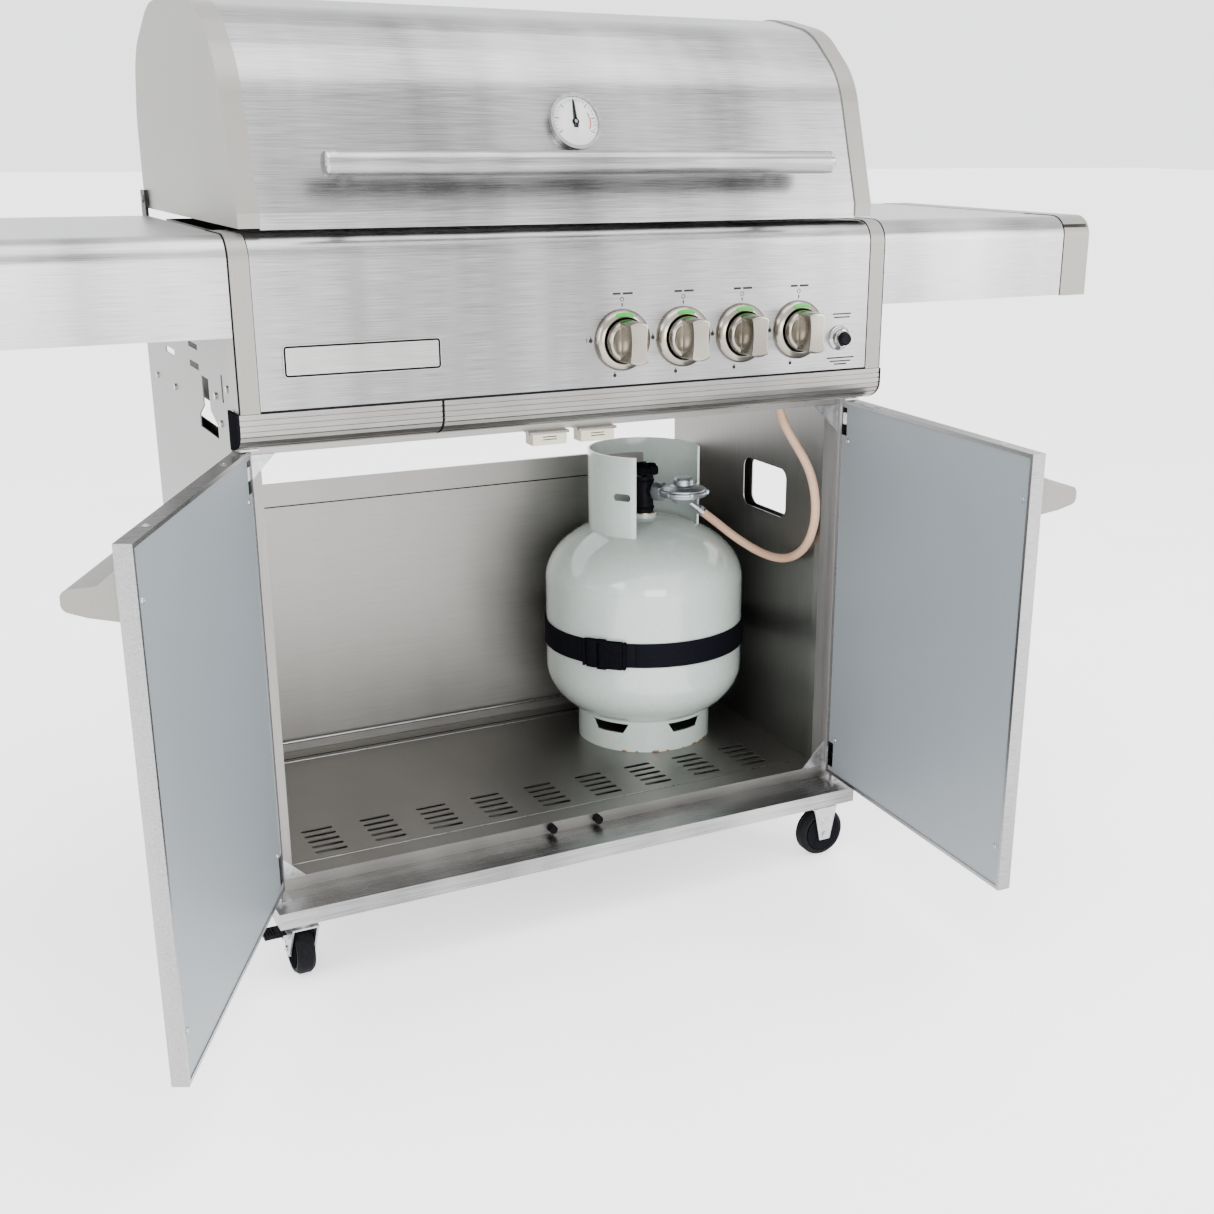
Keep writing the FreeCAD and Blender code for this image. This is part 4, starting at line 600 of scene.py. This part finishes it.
def knob():
    """A round die casting with a thick waisted grip, and a thumb dish on each side of it."""
    base = lathe("knob", [(25.2, 0), (26.8, 1.2), (26.9, 9), (26.2, 11.6), (24.4, 13.4), (21, 14.2),
                          (10, 14.6)], sides=72)
    grip_half, grip_height, grip_length = 0.0130, 0.0425, 0.0265
    bpy.ops.object.select_all(action="DESELECT")
    bpy.ops.mesh.primitive_cube_add(size=1, location=(0, 0, grip_height / 2 + 0.004))
    grip = bpy.context.active_object
    grip.scale = (2 * grip_half, 2 * grip_length, grip_height - 0.008)
    bpy.ops.object.transform_apply(location=True, rotation=True, scale=True)
    bpy.ops.object.mode_set(mode="EDIT")
    bpy.ops.mesh.subdivide(number_cuts=11)
    mesh = bmesh.from_edit_mesh(grip.data)
    for row in sorted({round(v.co.y, 5) for v in mesh.verts}):
        mark(grip, "verts", lambda vertex: abs(vertex.co.y - row) < 1e-4)
        waist = 0.80 + 0.20 * (row / grip_length) ** 2
        bpy.ops.transform.resize(value=(waist, 1, 1), center_override=(0, 0, 0))
    bpy.ops.object.mode_set(mode="OBJECT")
    envelope = lathe("tool", [(26.5, -1), (26.5, 39), (25.6, 42.0), (22, 43.5)], sides=72)
    carve(grip, envelope, "INTERSECT")
    soften(grip, 0.0014, 3)
    for way in (-1, 1):
        bpy.ops.object.select_all(action="DESELECT")
        bpy.ops.mesh.primitive_uv_sphere_add(segments=40, ring_count=20, radius=1,
                                             location=(way * 0.0135, 0, 0.0152))
        dish = bpy.context.active_object
        dish.scale = (0.0105, 0.0170, 0.0034)
        carve(base, dish, "DIFFERENCE")
    return soften(joined("knob", [base, grip]), 0)


bezel_rings = [(37.2, 0), (38.5, 0.8), (38.5, 3.0), (37.8, 4.6), (35.6, 7.1), (32.6, 9.1), (30.2, 9.9),
               (29.2, 9.6), (28.8, 8.6), (28.8, 1.6), (27.6, 1.4)]
pattern_knob = knob()
signal_green = bpy.data.materials.new("lit_green_window")
signal_green.use_nodes = True
glow = signal_green.node_tree.nodes["Principled BSDF"]
glow.inputs["Base Color"].default_value = (0.006, 0.17, 0.008, 1)
glow.inputs["Roughness"].default_value = 0.25
glow.inputs["Emission Color"].default_value = (0.004, 0.36, 0.010, 1)
glow.inputs["Emission Strength"].default_value = 0.8


def green_window(name, place):
    """A curved light guide let into the top of a bezel."""
    inner, outer, sweep, steps = 0.0300, 0.0352, math.radians(44), 14
    bpy.ops.object.select_all(action="DESELECT")
    bpy.ops.mesh.primitive_plane_add(size=1, location=((inner + outer) / 2, 0, 0.0082))
    guide = bpy.context.active_object
    guide.name = name
    guide.scale = (outer - inner, 0.0036, 1)
    guide.rotation_euler = (math.pi / 2, 0, 0)
    bpy.ops.object.transform_apply(location=True, rotation=True, scale=True)
    bpy.ops.object.mode_set(mode="EDIT")
    bpy.ops.mesh.select_all(action="SELECT")
    bpy.ops.mesh.spin(steps=steps, angle=sweep, center=(0, 0, 0), axis=(0, 0, 1))
    bpy.ops.mesh.select_all(action="SELECT")
    bpy.ops.mesh.remove_doubles(threshold=0.00001)
    bpy.ops.mesh.fill_holes(sides=0)
    bpy.ops.mesh.normals_make_consistent(inside=False)
    bpy.ops.object.mode_set(mode="OBJECT")
    guide.rotation_euler = (0, 0, 0)
    low = min(math.atan2(v.co.y, v.co.x) for v in guide.data.vertices)
    high = max(math.atan2(v.co.y, v.co.x) for v in guide.data.vertices)
    guide.rotation_euler = (0, 0, math.pi / 2 - (low + high) / 2)
    bpy.ops.object.transform_apply(location=False, rotation=True, scale=False)
    soften(guide, 0.0005)
    return stand(guide, place, FORWARD)


for index, place in enumerate(KNOBS, 1):
    ring = lathe("bezel", bezel_rings, sides=96)
    ring.data.materials.append(nickel)
    ring.data.materials.append(moulded_black)
    for face in ring.data.polygons:
        face.material_index = int(face.center.xy.length < 0.0287 and face.center.z < 0.006)
    fit(stand(ring, place, FORWARD), "cabinet", "nickel").name = f"bezel_{index}"
    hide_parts("panel_bezels")
    fit(green_window(f"bezel_window_{index}", place), "cabinet", "nickel", signal_green)
    copy = bpy.data.objects.new(f"knob_casting_{index}", pattern_knob.data.copy())
    bpy.context.scene.collection.objects.link(copy)
    stand(copy, (place[0], place[1] - KNOB_GAP, place[2]), FORWARD)
    fit(copy, f"knob_{index}", "nickel", nickel)
    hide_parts(f"knob_{index}")
bpy.data.objects.remove(pattern_knob)

# ---------------------------------------------------------------- panel marks
# Black printing reduced to plain signs: an off ring and tick over each knob, a
# flame beside and below it, and rules where the real panel has words.

ink = mottled("panel_ink", (0.010, 0.010, 0.011), (0.030, 0.030, 0.032), rough=(0.45, 0.6),
              scale=500)
INK_THICK = 0.0002


def rule(x, z, width, height=0.0011):
    """A printed bar."""
    return block("rule", (x - width / 2, FRONT - INK_THICK, z - height / 2),
                 (x + width / 2, FRONT + INK_THICK, z + height / 2), 0)


def off_ring(x, z):
    """The printed circle at a knob's off position."""
    bpy.ops.object.select_all(action="DESELECT")
    bpy.ops.mesh.primitive_torus_add(major_radius=0.0024, minor_radius=0.00045, major_segments=24,
                                     minor_segments=6)
    return stand(bpy.context.active_object, (x, FRONT, z), FORWARD)


def flame(x, z, size):
    """A drop with a pulled-up tip."""
    bpy.ops.object.select_all(action="DESELECT")
    bpy.ops.mesh.primitive_circle_add(vertices=20, radius=size, fill_type="NGON")
    drop = bpy.context.active_object
    bpy.ops.object.mode_set(mode="EDIT")
    bpy.ops.mesh.extrude_region_move(TRANSFORM_OT_translate={"value": (0, 0, INK_THICK * 2)})
    mark(drop, "verts", lambda vertex: vertex.co.y > size * 0.98)
    bpy.ops.transform.translate(value=(0, size * 1.3, 0))
    bpy.ops.mesh.select_all(action="SELECT")
    bpy.ops.mesh.normals_make_consistent(inside=False)
    bpy.ops.object.mode_set(mode="OBJECT")
    return stand(drop, (x, FRONT + INK_THICK, z), FORWARD)


marks = []
for x, _, z in KNOBS:
    marks += [rule(x - 0.0075, z + 0.0575, 0.011, 0.0026),
              rule(x + 0.0080, z + 0.0575, 0.014, 0.0026),
              off_ring(x, z + 0.0505), rule(x, z + 0.0435, 0.0016, 0.0044),
              flame(x - 0.0440, z + 0.001, 0.0027), flame(x - 0.0105, z - 0.0440, 0.0024)]
marks.append(rule(KNOBS[0][0] - 0.0495, KNOBS[0][2] + 0.0016, 0.0009, 0.0056))
IGNITER = (0.373, FRONT, 0.800)
for rise, width in ((0.0320, 0.030), (0.0275, 0.026), (-0.0270, 0.044), (-0.0315, 0.034),
                    (-0.0355, 0.020)):
    marks.append(rule(IGNITER[0] + 0.004, IGNITER[2] + rise, width, 0.0018))
fit(joined("panel_marks", marks), "cabinet", "black_plastic", ink)

# ---------------------------------------------------------------- igniter
# A chromed stepped bush screwed through the panel, with a round black push button.

bright_chrome = mottled("bright_chrome", (0.22, 0.22, 0.23), (0.46, 0.46, 0.47), metallic=1.0,
                        rough=(0.06, 0.14), scale=90, bump=0.02)
bush = lathe("igniter_bush", [
    (16.5, 0), (16.5, 2.4), (15.6, 3.6), (13.4, 4.4), (12.8, 5.2), (12.7, 8.6), (12.0, 9.8),
    (10.6, 10.2), (10.4, 12.4), (9.9, 13), (9.2, 12.8), (8.9, 12.2), (8.9, 4)], sides=64)
fit(stand(bush, IGNITER, FORWARD), "cabinet", "nickel", bright_chrome)
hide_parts("panel_bezels")
button = lathe("igniter_push", [(8.4, -6), (8.4, 17.6), (7.9, 19.0), (7.0, 19.8), (6.2, 19.9),
                                (5.6, 19.4), (2.0, 19.2)], sides=48)
fit(stand(button, IGNITER, FORWARD), "igniter", "black_plastic", black_plastic)
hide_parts("igniter_button")
dress(brass, "gas_taps", *(f"tap_stem_{index}" for index in range(1, 5)))
dress(zinc, "gas_manifold")

# ---------------------------------------------------------------- cooking head
# Enamelled steel firebox and cast grates over pressed burners and their shields.

enamel = mottled("black_enamel", (0.010, 0.010, 0.010), (0.035, 0.034, 0.033),
                 rough=(0.25, 0.4), scale=260, bump=0.15)
dress(enamel, "firebox", "cooking_grates")
dress(wall_steel, "burners", "flame_tamers")

# ---------------------------------------------------------------- hood
# One sheet rolled to shape between two painted castings, with a tube handle and
# a dial thermometer in its sloping front.

dress(stainless, "hood_shell", "hood_handle")
dress(casting_paint, "hood_ends")
dress(bright_chrome, "thermometer")
dress(black_plastic, "thermometer_needle")

# ---------------------------------------------------------------- thermometer dial
# A printed white face behind flat glass, marked every ten degrees of needle
# swing with a longer mark at each fourth.

DIAL = Vector((0, -0.0440, 1.0742))
DIAL_AXIS = Vector((0, -0.9545, 0.2983))
DIAL_FACE, DIAL_GLASS = 5.06, 8.2
PRINT_LEVEL = DIAL_FACE / 1000
face = lathe("dial_face", [(29.6, DIAL_FACE - 0.02), (29.6, DIAL_FACE + 0.08)], 72)
fit(stand(face, DIAL, DIAL_AXIS), "hood", "chrome_trim", white_plastic)
TICK_END = 0.0272
ticks = []
for step in range(25):
    major = step % 4 == 0
    long, half = (0.0058, 0.00055) if major else (0.0030, 0.0003)
    tick = block("tick", (-half, TICK_END - long, PRINT_LEVEL),
                 (half, TICK_END, PRINT_LEVEL + 0.00016), 0)
    ticks.append(stand(tick, (0, 0, 0), turn=math.radians(120 - 10 * step)))
dial_marks = joined("dial_marks", ticks)
fit(stand(dial_marks, DIAL, DIAL_AXIS), "hood", "chrome_trim", moulded_black)
hot_arc = mottled("dial_red", (0.36, 0.02, 0.015), (0.46, 0.035, 0.02), rough=(0.4, 0.5), scale=300)
arc = [stand(block("arc", (-0.0011, 0.0190, PRINT_LEVEL), (0.0011, 0.0206, PRINT_LEVEL + 0.00012), 0),
             (0, 0, 0), turn=math.radians(-60 - 5 * step)) for step in range(12)]
fit(stand(joined("dial_arc", arc), DIAL, DIAL_AXIS), "hood", "chrome_trim", hot_arc)
glass_disc = lathe("dial_glass", [(29.9, DIAL_GLASS), (29.9, DIAL_GLASS + 0.5),
                                  (29.0, DIAL_GLASS + 0.8)], 72)
clear, clear_shader = start_finish("clear_glass", 0.0, 0.03)
clear_shader.inputs["Base Color"].default_value = (0.96, 0.98, 0.97, 1)
clear_shader.inputs["Transmission Weight"].default_value = 1.0
clear_shader.inputs["IOR"].default_value = 1.15
fit(stand(glass_disc, DIAL, DIAL_AXIS), "hood", "chrome_trim", clear)

# ---------------------------------------------------------------- hood handle ends
# Turned end plugs close the tube and a shallow groove marks each of them.

HANDLE_HALF, HANDLE_Y, HANDLE_Z = 0.3295, -0.1096, 1.029
for way in (-1, 1):
    plug_end = lathe("handle_plug", [(14.05, -9), (14.05, -1.2), (13.4, -0.9), (13.4, 0), (14.0, 0.3),
                                     (14.0, 3), (12.6, 4.6), (9, 5.6), (3, 6)], 48)
    stand(plug_end, (way * HANDLE_HALF, HANDLE_Y, HANDLE_Z), (way, 0, 0))
    fit(plug_end, "hood", "satin_steel", bright_chrome)

# ---------------------------------------------------------------- gas cylinder
# Welded steel bottle in gloss pale green enamel, with its black plastic valve,
# die cast regulator and webbing strap.

BOTTLE_X, BOTTLE_Y = 0.251, 0.2675 + FRAME_SHIFT
STRAP_LOW, STRAP_HIGH, STRAP_OUT = 0.2913, 0.3293, 0.1589

bottle_paint = mottled("pale_green_enamel", (0.43, 0.49, 0.45), (0.49, 0.55, 0.51),
                       rough=(0.10, 0.20), scale=120, bump=0.04, height=0.0004, cloud=6, coat=0.6)
die_cast = mottled("die_cast_zinc", (0.24, 0.26, 0.28), (0.44, 0.465, 0.485), metallic=0.85,
                   rough=(0.30, 0.46), scale=260, bump=0.15)
webbing = mottled("black_webbing", (0.0015, 0.0015, 0.003), (0.009, 0.009, 0.013),
                  rough=(0.6, 0.8), stretch=(0.35, 0.35, 2.5), scale=900, bump=0.6, height=0.0005)
dress(bottle_paint, "gas_cylinder")
dress(black_plastic, "cylinder_valve", "cylinder_handwheel")
dress(die_cast, "gas_regulator")
dress(webbing, "cylinder_strap")


def bottle_part(name, low, high, angle, edge=0.0008):
    """A block drawn against the bottle's wall at its front, then swung round the bottle."""
    piece = block(name, low, high, edge)
    return stand(piece, (BOTTLE_X, BOTTLE_Y, 0), turn=math.radians(angle))


# side-release buckle: a socket, a two-pronged plug, the web folded through both,
# and the loose end lying on the strap
BUCKLE_TURN = -19
MID = (STRAP_LOW + STRAP_HIGH) / 2
# part, half width, outer and inner radius, bottom, top, turn from the buckle, rounding
BUCKLE_PARTS = [
    ("socket", 0.0185, 0.1668, 0.1566, STRAP_LOW - 0.0030, STRAP_HIGH + 0.0030, -26, 0.0022),
    ("plug", 0.009, 0.1660, 0.1566, STRAP_LOW - 0.0036, STRAP_HIGH + 0.0036, -37.5, 0.0020),
    ("prong", 0.008, 0.1652, 0.1590, STRAP_HIGH - 0.0015, STRAP_HIGH + 0.0052, -31.5, 0.0016),
    ("prong", 0.008, 0.1652, 0.1590, STRAP_LOW - 0.0052, STRAP_LOW + 0.0015, -31.5, 0.0016),
    ("bar", 0.0022, 0.1672, 0.1570, STRAP_LOW - 0.0024, STRAP_HIGH + 0.0024, -18.6, 0.0010),
    ("bar", 0.0018, 0.1670, 0.1570, STRAP_LOW - 0.0024, STRAP_HIGH + 0.0024, -42.0, 0.0008),
    ("rib", 0.010, 0.1674, 0.1660, MID - 0.0085, MID - 0.0070, -26, 0.0005),
    ("rib", 0.010, 0.1674, 0.1660, MID + 0.0070, MID + 0.0085, -26, 0.0005)]
buckle = [bottle_part(part, (-half, -outer, low), (half, -inner, high), BUCKLE_TURN + turn, edge)
          for part, half, outer, inner, low, high, turn, edge in BUCKLE_PARTS]
fit(joined("strap_buckle", buckle), "cabinet", "black_plastic", moulded_black)
loose = [bottle_part("fold", (-0.0080, -0.1614, STRAP_LOW + 0.001),
                     (0.0080, -0.1584, STRAP_HIGH - 0.001), BUCKLE_TURN + turn, 0.0006)
         for turn in (-15.8, -45.2)]
fit(joined("strap_folds", loose), "cabinet", "black_webbing", webbing)


def band(name, radius, thick, low, high, start, stop, steps):
    """A strip bent round the bottle between two angles from its front."""
    bpy.ops.object.select_all(action="DESELECT")
    bpy.ops.mesh.primitive_plane_add(size=1, location=(0, 0, 0))
    strip = bpy.context.active_object
    strip.name = name
    strip.scale = (thick, high - low, 1)
    bpy.ops.object.transform_apply(location=True, rotation=True, scale=True)
    strip.matrix_world = (Matrix.Translation((BOTTLE_X, BOTTLE_Y, (low + high) / 2))
                          @ Matrix.Rotation(math.radians(start), 4, "Z")
                          @ Matrix.Translation((0, -radius - thick / 2, 0))
                          @ Matrix.Rotation(math.pi / 2, 4, "Z")
                          @ Matrix.Rotation(math.pi / 2, 4, "X"))
    bpy.ops.object.transform_apply(location=True, rotation=True, scale=True)
    bpy.ops.object.mode_set(mode="EDIT")
    bpy.ops.mesh.select_all(action="SELECT")
    bpy.ops.mesh.spin(steps=steps, angle=math.radians(stop - start),
                      center=(BOTTLE_X, BOTTLE_Y, (low + high) / 2), axis=(0, 0, 1))
    bpy.ops.mesh.select_all(action="SELECT")
    bpy.ops.mesh.remove_doubles(threshold=0.000001)
    bpy.ops.mesh.normals_make_consistent(inside=False)
    bpy.ops.object.mode_set(mode="OBJECT")
    return soften(strip, 0)


# the web's thicker woven edges and its stitched seam near the buckle
SELVEDGE = 0.0024
edges = [band("selvedge", STRAP_OUT - 0.0002, 0.0007, low, low + SELVEDGE, BUCKLE_TURN - 16,
              BUCKLE_TURN + 316, 120) for low in (STRAP_LOW, STRAP_HIGH - SELVEDGE)]
fit(joined("strap_edges", edges), "cabinet", "black_webbing", webbing)
levels = [STRAP_LOW + 0.004 + 0.0042 * step for step in range(8)]
stitches = [bottle_part("stitch", (-0.0004, -0.1596, level), (0.0004, -0.1584, level + 0.0024),
                        BUCKLE_TURN + turn, 0) for turn in (-11.5, -12.6) for level in levels]
fit(joined("strap_stitches", stitches), "cabinet", "black_webbing", moulded_black)

# rust has started where the foot ring's enamel is chipped along its lower edge
rust = mottled("rust", (0.10, 0.035, 0.012), (0.42, 0.20, 0.06), rough=(0.7, 0.9), scale=900, bump=0.6)
RUST_SPOTS = [(-44, 0.0022), (-33, 0.0012), (-17, 0.0030), (-6, 0.0014), (9, 0.0009), (22, 0.0026),
              (31, 0.0016), (38, 0.0034), (52, 0.0012)]
chips = [bottle_part("chip", (-1.8 * size, -0.10700, FLOOR_TOP),
                     (1.8 * size, -0.1064, FLOOR_TOP + 0.0015 + size / 3), turn, 0.0003)
         for turn, size in RUST_SPOTS]
fit(joined("foot_rust", chips), "cabinet", "cylinder_paint", rust)
# brass ring screwed into the head under the valve
seat = stand(lathe("valve_seat", [(19, 0), (19, 4), (17.5, 5), (17.5, 7.5), (15, 8)], 48),
             (BOTTLE_X, BOTTLE_Y, 0.4905))
fit(seat, "cabinet", "brass", brass)

# ---------------------------------------------------------------- regulator
# Two die cast bowls rolled together at a rim, with a vent cap, a screw plug and a
# hexagon hand nut; the hose is crimped on the barb.

REGULATOR = Vector((0.287, 0.20515 + FRAME_SHIFT, 0.5373))
VALVE_TO_REGULATOR = Vector((math.sin(math.radians(30)), -math.cos(math.radians(30)), 0))
rim = lathe("regulator_rim", [
    (37.4, 0), (38.0, 0.8), (38.0, 3.2), (37.4, 4.0), (35, 4.4), (34.5, 6.6), (30, 8.4), (24.5, 10.2),
    (23.8, 9.4), (22.6, 9.4), (21.8, 10.8), (15.6, 12.6), (15.2, 20.4), (14.2, 21.6), (12.4, 21.8),
    (11.8, 20.8), (4, 20.8)], 72)
fit(stand(rim, REGULATOR), "cabinet", "zinc_casting", die_cast)
faded_red = mottled("faded_red_plug", (0.42, 0.27, 0.26), (0.56, 0.39, 0.36), rough=(0.5, 0.7),
                    scale=400)
plug = lathe("regulator_plug", [(11.4, 20.7), (11.4, 21.2), (9.4, 21.7), (8.8, 21.3), (3, 21.2)], 32)
fit(stand(plug, REGULATOR), "cabinet", "zinc_casting", faded_red)
lugs = [stand(block("lug", (0.0335, -0.0035, -0.0012), (0.0400, 0.0035, 0.0052), 0.0012),
              REGULATOR, turn=math.pi * step / 3 + 0.4) for step in range(6)]
fit(joined("regulator_lugs", lugs), "cabinet", "zinc_casting", die_cast)
hand_nut = lathe("hand_nut", [(12.5, 0), (14.2, 1.6), (14.2, 11.4), (12.5, 13)], 6, 0.0006)
valve_outlet = Vector((BOTTLE_X, BOTTLE_Y, 0.5333)) + 0.0185 * VALVE_TO_REGULATOR
fit(stand(hand_nut, valve_outlet, VALVE_TO_REGULATOR), "cabinet", "zinc_casting", die_cast)
hose_start, hose_next = (Vector((x, y + FRAME_SHIFT, z)) for x, y, z in HOSE_ROUTE[:2])
hose_way = (hose_next - hose_start).normalized()
crimp = lathe("hose_crimp", [(7.2, 0), (7.5, 0.5), (7.5, 2), (7.0, 2.8), (7.5, 3.6), (7.5, 5),
                             (7.0, 5.8), (7.5, 6.6), (7.5, 8.4), (6.6, 9.2)], 32)
fit(stand(crimp, hose_start - 0.001 * hose_way, hose_way), "cabinet", "zinc_casting", zinc)

# ---------------------------------------------------------------- handwheel
# A moulded black wheel with five lobes and a brass nut over its spindle.

LOBE_REACH = 0.0165
lobes = [stand(lathe("lobe", [(6.4, 0), (7.6, 1.2), (7.8, 8), (7.2, 12), (5.4, 13.6)], 20, 0.0005),
               (LOBE_REACH * math.cos(turn), LOBE_REACH * math.sin(turn), 0.0006))
         for turn in [2 * math.pi * step / 5 + 0.3 for step in range(5)]]
hub = lathe("hub", [(15.5, 0.2), (16.4, 1.6), (16.4, 9), (14.5, 11.5), (8.5, 12.4), (8.2, 15.6),
                    (6.5, 16)], 40)
wheel = joined("handwheel_moulding", [hub, *lobes])
fit(stand(wheel, (BOTTLE_X, BOTTLE_Y, 0.5583)), "handwheel", "black_plastic", moulded_black)
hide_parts("cylinder_handwheel")
valve_rings = [stand(lathe("ring", [(15.4, 0), (16.2, 0.8), (16.2, 3.2), (15.4, 4)], 40),
                     (BOTTLE_X, BOTTLE_Y, level)) for level in (0.5035, 0.5460)]
fit(joined("valve_rings", valve_rings), "cabinet", "black_plastic", moulded_black)

# ---------------------------------------------------------------- casters
# Zinc plated forks with moulded black wheels; the left pair swivel and brake.

wheel_rubber = mottled("wheel_rubber", (0.003, 0.003, 0.004), (0.010, 0.010, 0.011),
                       rough=(0.45, 0.65), scale=240, bump=0.2)
dress(zinc, "caster_mounts", "caster_fork_front", "caster_fork_rear")
dress(black_plastic, "brake_lever_front", "brake_lever_rear")
WHEEL_PARTS = [("right_front", "wheel_rf"), ("right_rear", "wheel_rr"), ("left_front", "wheel_lf"),
               ("left_rear", "wheel_lr")]
for corner, body in WHEEL_PARTS:
    dress(wheel_rubber, f"wheel_{corner}")
    low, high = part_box(f"wheel_{corner}")
    middle, across, rim_radius = (low + high) / 2, (high - low), (high.z - low.z) * 500
    axle = (1, 0, 0) if across.x < across.y else (0, 1, 0)
    half = min(across.x, across.y) * 500
    covers = []
    for way in (-1, 1):
        # a dished hub face with a raised boss, just proud of the tread's side
        cover = lathe("hub_face", [(rim_radius * 0.74, half - 1.2), (rim_radius * 0.74, half - 0.2),
                                   (rim_radius * 0.66, half + 0.2), (rim_radius * 0.60, half - 0.9),
                                   (rim_radius * 0.34, half - 0.9), (rim_radius * 0.30, half + 0.2),
                                   (rim_radius * 0.18, half + 0.2)], 40)
        covers.append(stand(cover, middle, Vector(axle) * way))
    fit(joined(f"{body}_hub", covers), body, "wheel_rubber", moulded_black)

# the brake pedals are ridged for a shoe
RIDGE_STEP, RIDGE_WIDTH = 0.004, 0.0016
for name in ("front", "rear"):
    low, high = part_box(f"brake_lever_{name}")
    lefts = [low.x + 0.002 + RIDGE_STEP * step for step in range(4)]
    ridges = [block("ridge", (left, low.y + 0.004, high.z - 0.0005),
                    (left + RIDGE_WIDTH, high.y - 0.004, high.z + 0.0008), 0.0004) for left in lefts]
    fit(joined(f"brake_ridges_{name}", ridges), f"brake_{name}", "black_plastic", moulded_black)
